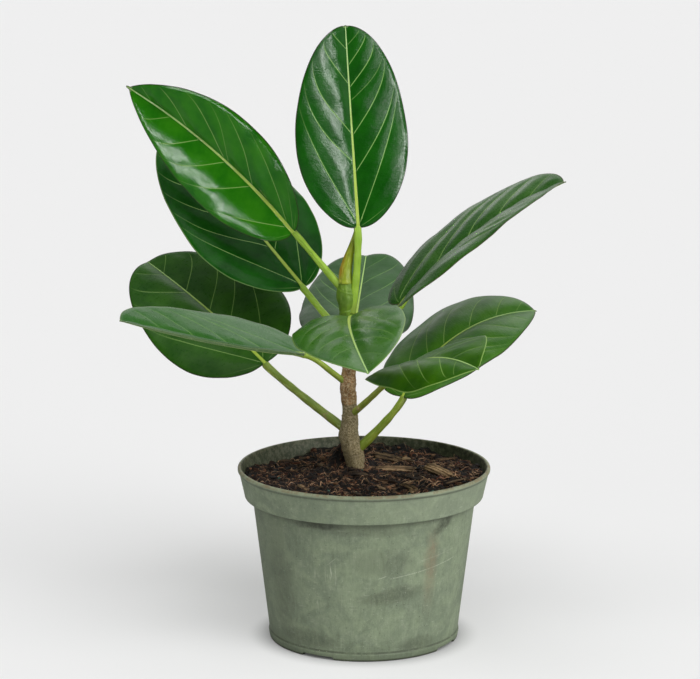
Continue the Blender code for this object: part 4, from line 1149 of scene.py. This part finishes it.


# chips given one by one: x, y, length, width, thickness, heading, tilt, tone (0 dark to 1 tan), bow
namedChips = [
    (44.6, -2.0, 24, 7.5, 2.6, -48, 6, 0.95, 0.6), (19.5, 3.5, 29, 4.2, 2.0, -6, 1, 0.72, 0.2),
    (14.0, 35.0, 16, 6.5, 2.5, -28, 8, 0.35, 0.0), (26.5, 33.0, 7, 5.0, 1.6, 20, 10, 0.9, 1.2),
    (26.5, -27.0, 15, 2.0, 1.4, 70, 4, 0.9, 0.2), (27.5, -44.0, 12, 3.6, 1.8, -52, 3, 0.8, 0.3),
    (51.0, -23.0, 10, 2.4, 1.5, -50, 5, 0.55, 0.2), (-23.5, 22.0, 11, 2.6, 1.5, -62, 6, 0.85, 0.2),
    (-24.5, 12.0, 9, 3.0, 1.6, -30, 5, 0.6, 0.0), (-36.0, -40.0, 14, 2.2, 1.3, -62, 3, 0.75, 0.4),
    (-12.0, -52.0, 7, 3.5, 1.5, 12, 0, 0.85, 0.0), (-41.0, -45.0, 5, 3.0, 1.3, 40, 0, 0.85, 0.0),
]


def makeChips(finish):
    draw = random.Random(soil["chipSeed"])
    chips = list(namedChips)
    while len(chips) < soil["chips"]:
        x, y = spotWithin(draw, soil["chipReach"])
        rich = 0.5 + 0.5 * float(smooth(x, -15, 20))  # more and bigger pieces on the right
        length = 2.5 + 14 * rich * draw.random() ** 2.2
        chips.append((
            x, y, length, length * draw.uniform(0.16, 0.42), draw.uniform(0.6, 1.7), draw.uniform(0, 180),
            draw.uniform(-14, 14), rich * draw.random() ** 1.6, draw.uniform(-0.2, 0.5)))
    parts = []
    for x, y, length, width, thick, heading, tilt, tone, bow in chips:
        heading, tilt = math.radians(heading), math.radians(tilt)
        inwards = min(1, (soil["reach"] - 1 - length * 0.42) / max(math.hypot(x, y), 1))
        x, y = x * inwards, y * inwards
        reach = np.array([-0.35, 0, 0.35]) * length
        rest = np.mean(soilTop(x + reach * math.cos(heading), y + reach * math.sin(heading)))
        strips = soil["strips"] if length > soil["tornLength"] else 1  # a long piece is torn into strips
        chance = draw.random()
        for strip in range(strips):
            if strip:
                slim, short = draw.uniform(0.16, 0.3), draw.uniform(0.55, 1.05)
                part, faces = splinter(draw, length * short, width * slim, thick * 0.6, bow)
                part = turned(part, *(draw.uniform(-most, most) for most in (0.14, 0.08, 0.6)))
                part = part + np.array([draw.uniform(-0.2, 0.2) * length, draw.uniform(-0.5, 0.5) * width,
                                        thick * draw.uniform(0.2, 0.7)])
            else:
                part, faces = splinter(draw, length, width, thick, bow)
            grain = part + np.array([draw.uniform(0, 500), 0, 0])
            part = turned(part, heading, tilt) + np.array([x, y, rest + thick * 0.22])
            shade = min(max(tone + draw.uniform(-0.45, 0.3) * (strips > 1), 0), 1)
            parts.append((part, faces, (shade, chance, 0), grain))
    addLoose("bark_chips", parts, finish, sharp=32)


def makeCrumbs(finish):
    ball, faces = smallBall(1)
    draw = random.Random(soil["crumbSeed"])
    parts = []
    for _ in range(soil["crumbs"]):
        x, y = spotWithin(draw, soil["reach"])
        size = 0.45 + 1.5 * draw.random() ** 3
        jitter = np.array([draw.uniform(0.75, 1.2) for _ in ball])[:, None]
        part = ball * jitter * (size * draw.uniform(0.8, 1.6), size, size * draw.uniform(0.45, 0.8))
        part = turned(part, draw.uniform(0, math.pi), draw.uniform(-0.5, 0.5)) + onSoil(x, y, size * 0.12)
        parts.append((part, faces, (draw.random() ** 3.5, draw.random(), 0), part))
    addLoose("soil_crumbs", parts, finish, sharp=40)


def makeFibres(finish):
    # short curly strands all over the soil, each a four-sided tube, drawn and built all at once
    draw = np.random.default_rng(soil["fibreSeed"])
    count, steps = soil["fibres"], soil["fibreSteps"]
    away = soil["fibreReach"] * np.sqrt(draw.random(count))
    turn = draw.uniform(0, math.tau, count)
    pace = draw.uniform(0.4, 1.4, count)[:, None]
    bend = draw.uniform(-0.4, 0.4, count)[:, None]
    radius = (0.09 + 0.24 * draw.random(count) ** 3)[:, None]
    heading = draw.uniform(0, math.tau, count)[:, None] + bend * np.arange(steps)
    heading = heading + draw.uniform(-0.3, 0.3, (count, steps))
    x = (away * np.cos(turn))[:, None] + np.cumsum(np.cos(heading) * pace, 1)
    y = (away * np.sin(turn))[:, None] + np.cumsum(np.sin(heading) * pace, 1)
    inwards = np.minimum(1, soil["reach"] / np.hypot(x, y))
    x, y = x * inwards, y * inwards
    share = np.linspace(0, 1, steps)
    hump = np.sin(np.pi * share) * draw.uniform(-0.4, 1.5, count)[:, None]
    thick = radius * (1 - 0.6 * np.abs(2 * share - 1) ** 3)
    side = np.stack([-np.sin(heading) * thick, np.cos(heading) * thick, np.zeros_like(x)], -1)
    upward = np.stack([np.zeros_like(x), np.zeros_like(x), thick], -1)
    middle = np.stack([x, y, soilTop(x, y) + radius * 0.7 + hump], -1)
    points = np.stack([middle + side, middle + upward, middle - side, middle - upward], 2).reshape(-1, 3)
    one = np.array(gridFaces(steps, 4, closed=True) + [[3, 2, 1, 0], [4 * steps - k for k in (4, 3, 2, 1)]])
    faces = (one[None] + 4 * steps * np.arange(count)[:, None, None]).reshape(-1, 4).tolist()
    tone = np.stack([draw.random(count) ** 3.4, draw.random(count), np.ones(count)], -1)
    marks = {"tone": np.repeat(tone, 4 * steps, 0), "grain": points}
    addPiece("root_fibres", points, faces, [finish], (), marks)


def makeGranules(finish):
    ball, faces = smallBall(2)
    draw = random.Random(soil["granuleSeed"])
    spots = [(32.0, 8.0), (40.5, -46.0), (-50.5, -15.0), (-4.2, -47.0)]
    spots += [spotWithin(draw, soil["granuleReach"]) for _ in range(soil["granules"] - len(spots))]
    parts = []
    for x, y in spots:
        size = draw.uniform(0.7, 1.15)
        part = ball * size * (1, draw.uniform(0.85, 1), draw.uniform(0.85, 1)) + onSoil(x, y, size * 0.35)
        parts.append((part, faces, (draw.random(), draw.random(), 0), part))
    addLoose("feed_granules", parts, finish)


def soilGapShade(look, at):  # painted shade: nearly black patches between the paler heaps
    return look.clouds(look.moved(at, (7, 3, 0)), 9, 3, 0.6).falling(0.42, 0.56)


def soilFinish():
    look = Finish("potting_mix", {"IOR": 1.4})
    at = look.place()
    x, _, _ = look.parts(at)
    swirl = look.clouds(look.scaled(look.warped(at, 4, 5), (1, 0.3, 1)), 1.1, 4, 0.65)
    grain = look.clouds(at, 0.7, 3, 0.7)
    edge = (x * -1).rising(50, 66) * look.clouds(at, 6, 3).rising(0.4, 0.65)
    patches = look.clouds(at, 13, 3, 0.55).rising(0.3, 0.7)
    brown = look.layered(
        look.mix(patches, (0.003, 0.002, 0.0015), (0.009, 0.005, 0.003)),
        (swirl.rising(0.58, 0.72) * 0.5, (0.06, 0.032, 0.018)),
        (grain.rising(0.62, 0.72) * 0.35, (0.08, 0.045, 0.026)),
        (edge * 0.5, (0.12, 0.035, 0.014)),
        # painted shade in the soil's gaps
        (soilGapShade(look, at) * 0.8, (0.0015, 0.001, 0.001)))
    return look.paint({
        "Base Color": brown, "Roughness": 0.7 + 0.2 * grain,
        "Normal": look.relief(grain * 0.5 + swirl * 0.5, 1.0)})


def chipFinish(name, dark, tan, red):
    look = Finish(name, {"IOR": 1.4})
    tone, chance, _ = look.parts(look.mark("tone"))
    grain = look.mark("grain")
    fibres = look.clouds(look.scaled(grain, (0.16, 1, 1)), 0.55, 4, 0.65)
    # painted shade: the pieces darken in the soil's dark gaps
    gapShade = soilGapShade(look, look.place()) * (1 - tone * 0.6)
    brown = look.layered(
        look.mix(tone, dark, tan),
        (chance.rising(0.6, 0.95) * 0.5, red),
        (fibres.falling(0.3, 0.5) * 0.65, [c * 0.35 for c in dark]),
        (fibres.rising(0.52, 0.75) * 0.45 * tone, [min(c * 1.5, 0.7) for c in tan]),
        (look.clouds(grain, 3, 3).rising(0.5, 0.7) * 0.35, dark),
        (gapShade * 0.85, [c * 0.4 for c in dark]))
    return look.paint({
        "Base Color": brown, "Roughness": 0.65 + 0.25 * fibres, "Normal": look.relief(fibres, 0.35)})


def granuleFinish():
    look = Finish("feed_granule", {"Roughness": 0.5, "IOR": 1.45})
    tone, _, _ = look.parts(look.mark("tone"))
    at = look.place()
    teal = look.layered(
        look.mix(tone, (0.015, 0.08, 0.055), (0.04, 0.16, 0.12)),
        (look.clouds(at, 0.6, 2).rising(0.5, 0.7) * 0.4, (0.03, 0.04, 0.03)))
    return look.paint({"Base Color": teal, "Normal": look.relief(look.clouds(at, 0.4, 2), 0.1)})


makeSoil(soilFinish())
makeChips(chipFinish("bark_chip", (0.02, 0.011, 0.006), (0.42, 0.28, 0.15), (0.24, 0.08, 0.035)))
makeCrumbs(chipFinish("soil_crumb", (0.004, 0.002, 0.0015), (0.38, 0.18, 0.09), (0.12, 0.034, 0.014)))
makeFibres(chipFinish("root_fibre", (0.012, 0.005, 0.003), (0.95, 0.57, 0.33), (0.3, 0.08, 0.034)))
makeGranules(granuleFinish())
print("stage: soil")


studio = dict(
    camera=(0, -1.648, 0.521), tilt=-11.6, turn=0.29, lens=144.87, sensor=36,  # metres, degrees, mm
    # the floor's side in metres, its tone and its glow, how much darker reflections see it, and the ring (mm
    # from the middle) over which the glow fades to footGlow under the pot
    floor=80, floorColor=0.5, floorGlow=0.372, floorDim=0.65, footShade=(50, 72), footGlow=0.05,
    backdrop=0.855,
    # each soft light: azimuth from the camera towards +X, elevation, degrees across, its strength as light
    # and its strength in a gloss
    lights=[(34, 62, 60, 3.3, 0.6), (48, 22, 50, 4.6, 0), (95, 15, 44, 1.5, 0.8), (-50, 66, 44, 4.2, 0.2),
            (-35, 20, 50, 0.8, 0), (54, 11, 19, 0, 26.0), (33, 16, 13, 0, 8.0), (-60, 4, 8.5, 0, 38.0),
            (160, 48, 42, 0, 1.7), (180, 38, 64, 0, 0.8), (180, 35, 150, 0, 0.22),
            (-163, 17, 20, 0, 1.0)],
    lightFull=0.35,  # share of each light, from its middle, that has its full strength
    frontSky=0.03, backSky=0.16)


def makeCamera():
    scene = bpy.context.scene
    scene.view_settings.view_transform = "Standard"
    data = bpy.data.cameras.new("camera")
    data.lens = studio["lens"]
    data.sensor_width = studio["sensor"]
    data.clip_end = 200
    camera = bpy.data.objects.new("camera", data)
    camera.location = studio["camera"]
    camera.rotation_euler = (math.radians(90 + studio["tilt"]), 0, math.radians(studio["turn"]))
    scene.collection.objects.link(camera)
    scene.camera = camera


def makeFloor():
    half = studio["floor"] / 2
    mesh = bpy.data.meshes.new("floor")
    corners = [(x * half, y * half, 0) for x, y in ((-1, -1), (1, -1), (1, 1), (-1, 1))]
    mesh.from_pydata(corners, [], [(0, 1, 2, 3)])
    paper = Finish("paper", {"Base Color": (studio["floorColor"],) * 3, "Roughness": 1.0,
                             "Specular IOR Level": 0.0, "Emission Strength": studio["floorGlow"]})
    x, y, _ = paper.parts(paper.place())  # the room's light hardly gets in under the pot
    clear = ((x * x + y * y) ** 0.5).rising(*studio["footShade"])
    paper.paint({"Emission Color": paper.mix(clear, (studio["footGlow"],) * 3, (1, 1, 1))})
    # reflections see a dimmer floor than the eye does
    glossyRay = paper.add("LightPath", {}, out="Is Glossy Ray")
    whole = Wire(paper, paper.shader.outputs[0])
    none = paper.add("Emission", {}, {"Strength": 0.0})
    seen = paper.add("MixShader", {}, (glossyRay * studio["floorDim"], whole, none))
    paper.feed(paper.tree.nodes["Material Output"].inputs["Surface"], seen)
    mesh.materials.append(paper.material)
    floor = bpy.data.objects.new("floor", mesh)
    bpy.context.scene.collection.objects.link(floor)


def makeSky():
    # a dim room with a pale back wall and soft lights, all of it in the world
    world = bpy.data.worlds.new("studio")
    bpy.context.scene.world = world
    world.use_nodes = True
    world.node_tree.nodes.clear()
    sky = Nodes(world.node_tree)
    way = sky.add("TexCoord", {}, out="Generated")
    _, back, _ = sky.parts(way)
    glow = studio["frontSky"] + back.rising(-0.25, 0.7) * (studio["backSky"] - studio["frontSky"])
    glossyRay = sky.add("LightPath", {}, out="Is Glossy Ray")
    for azimuth, height, across, lighting, gloss in studio["lights"]:
        middle = direction(azimuth - 90, height)
        facing = sky.add("VectorMath", dict(operation="DOT_PRODUCT"), (way, middle), out="Value")
        edge = math.cos(math.radians(across / 2))
        strength = glossyRay * (gloss - lighting) + lighting
        glow = glow + facing.rising(edge, 1 - (1 - edge) * studio["lightFull"]) * strength
    lit = sky.add("Background", {}, {"Strength": glow})
    seen = sky.add("Background", {}, {"Strength": studio["backdrop"]})
    cameraRay = sky.add("LightPath", {}, out="Is Camera Ray")
    both = sky.add("MixShader", {}, (cameraRay, lit, seen))
    sky.add("OutputWorld", {}, {"Surface": both})


makeCamera()
makeFloor()
makeSky()
print("stage: studio")
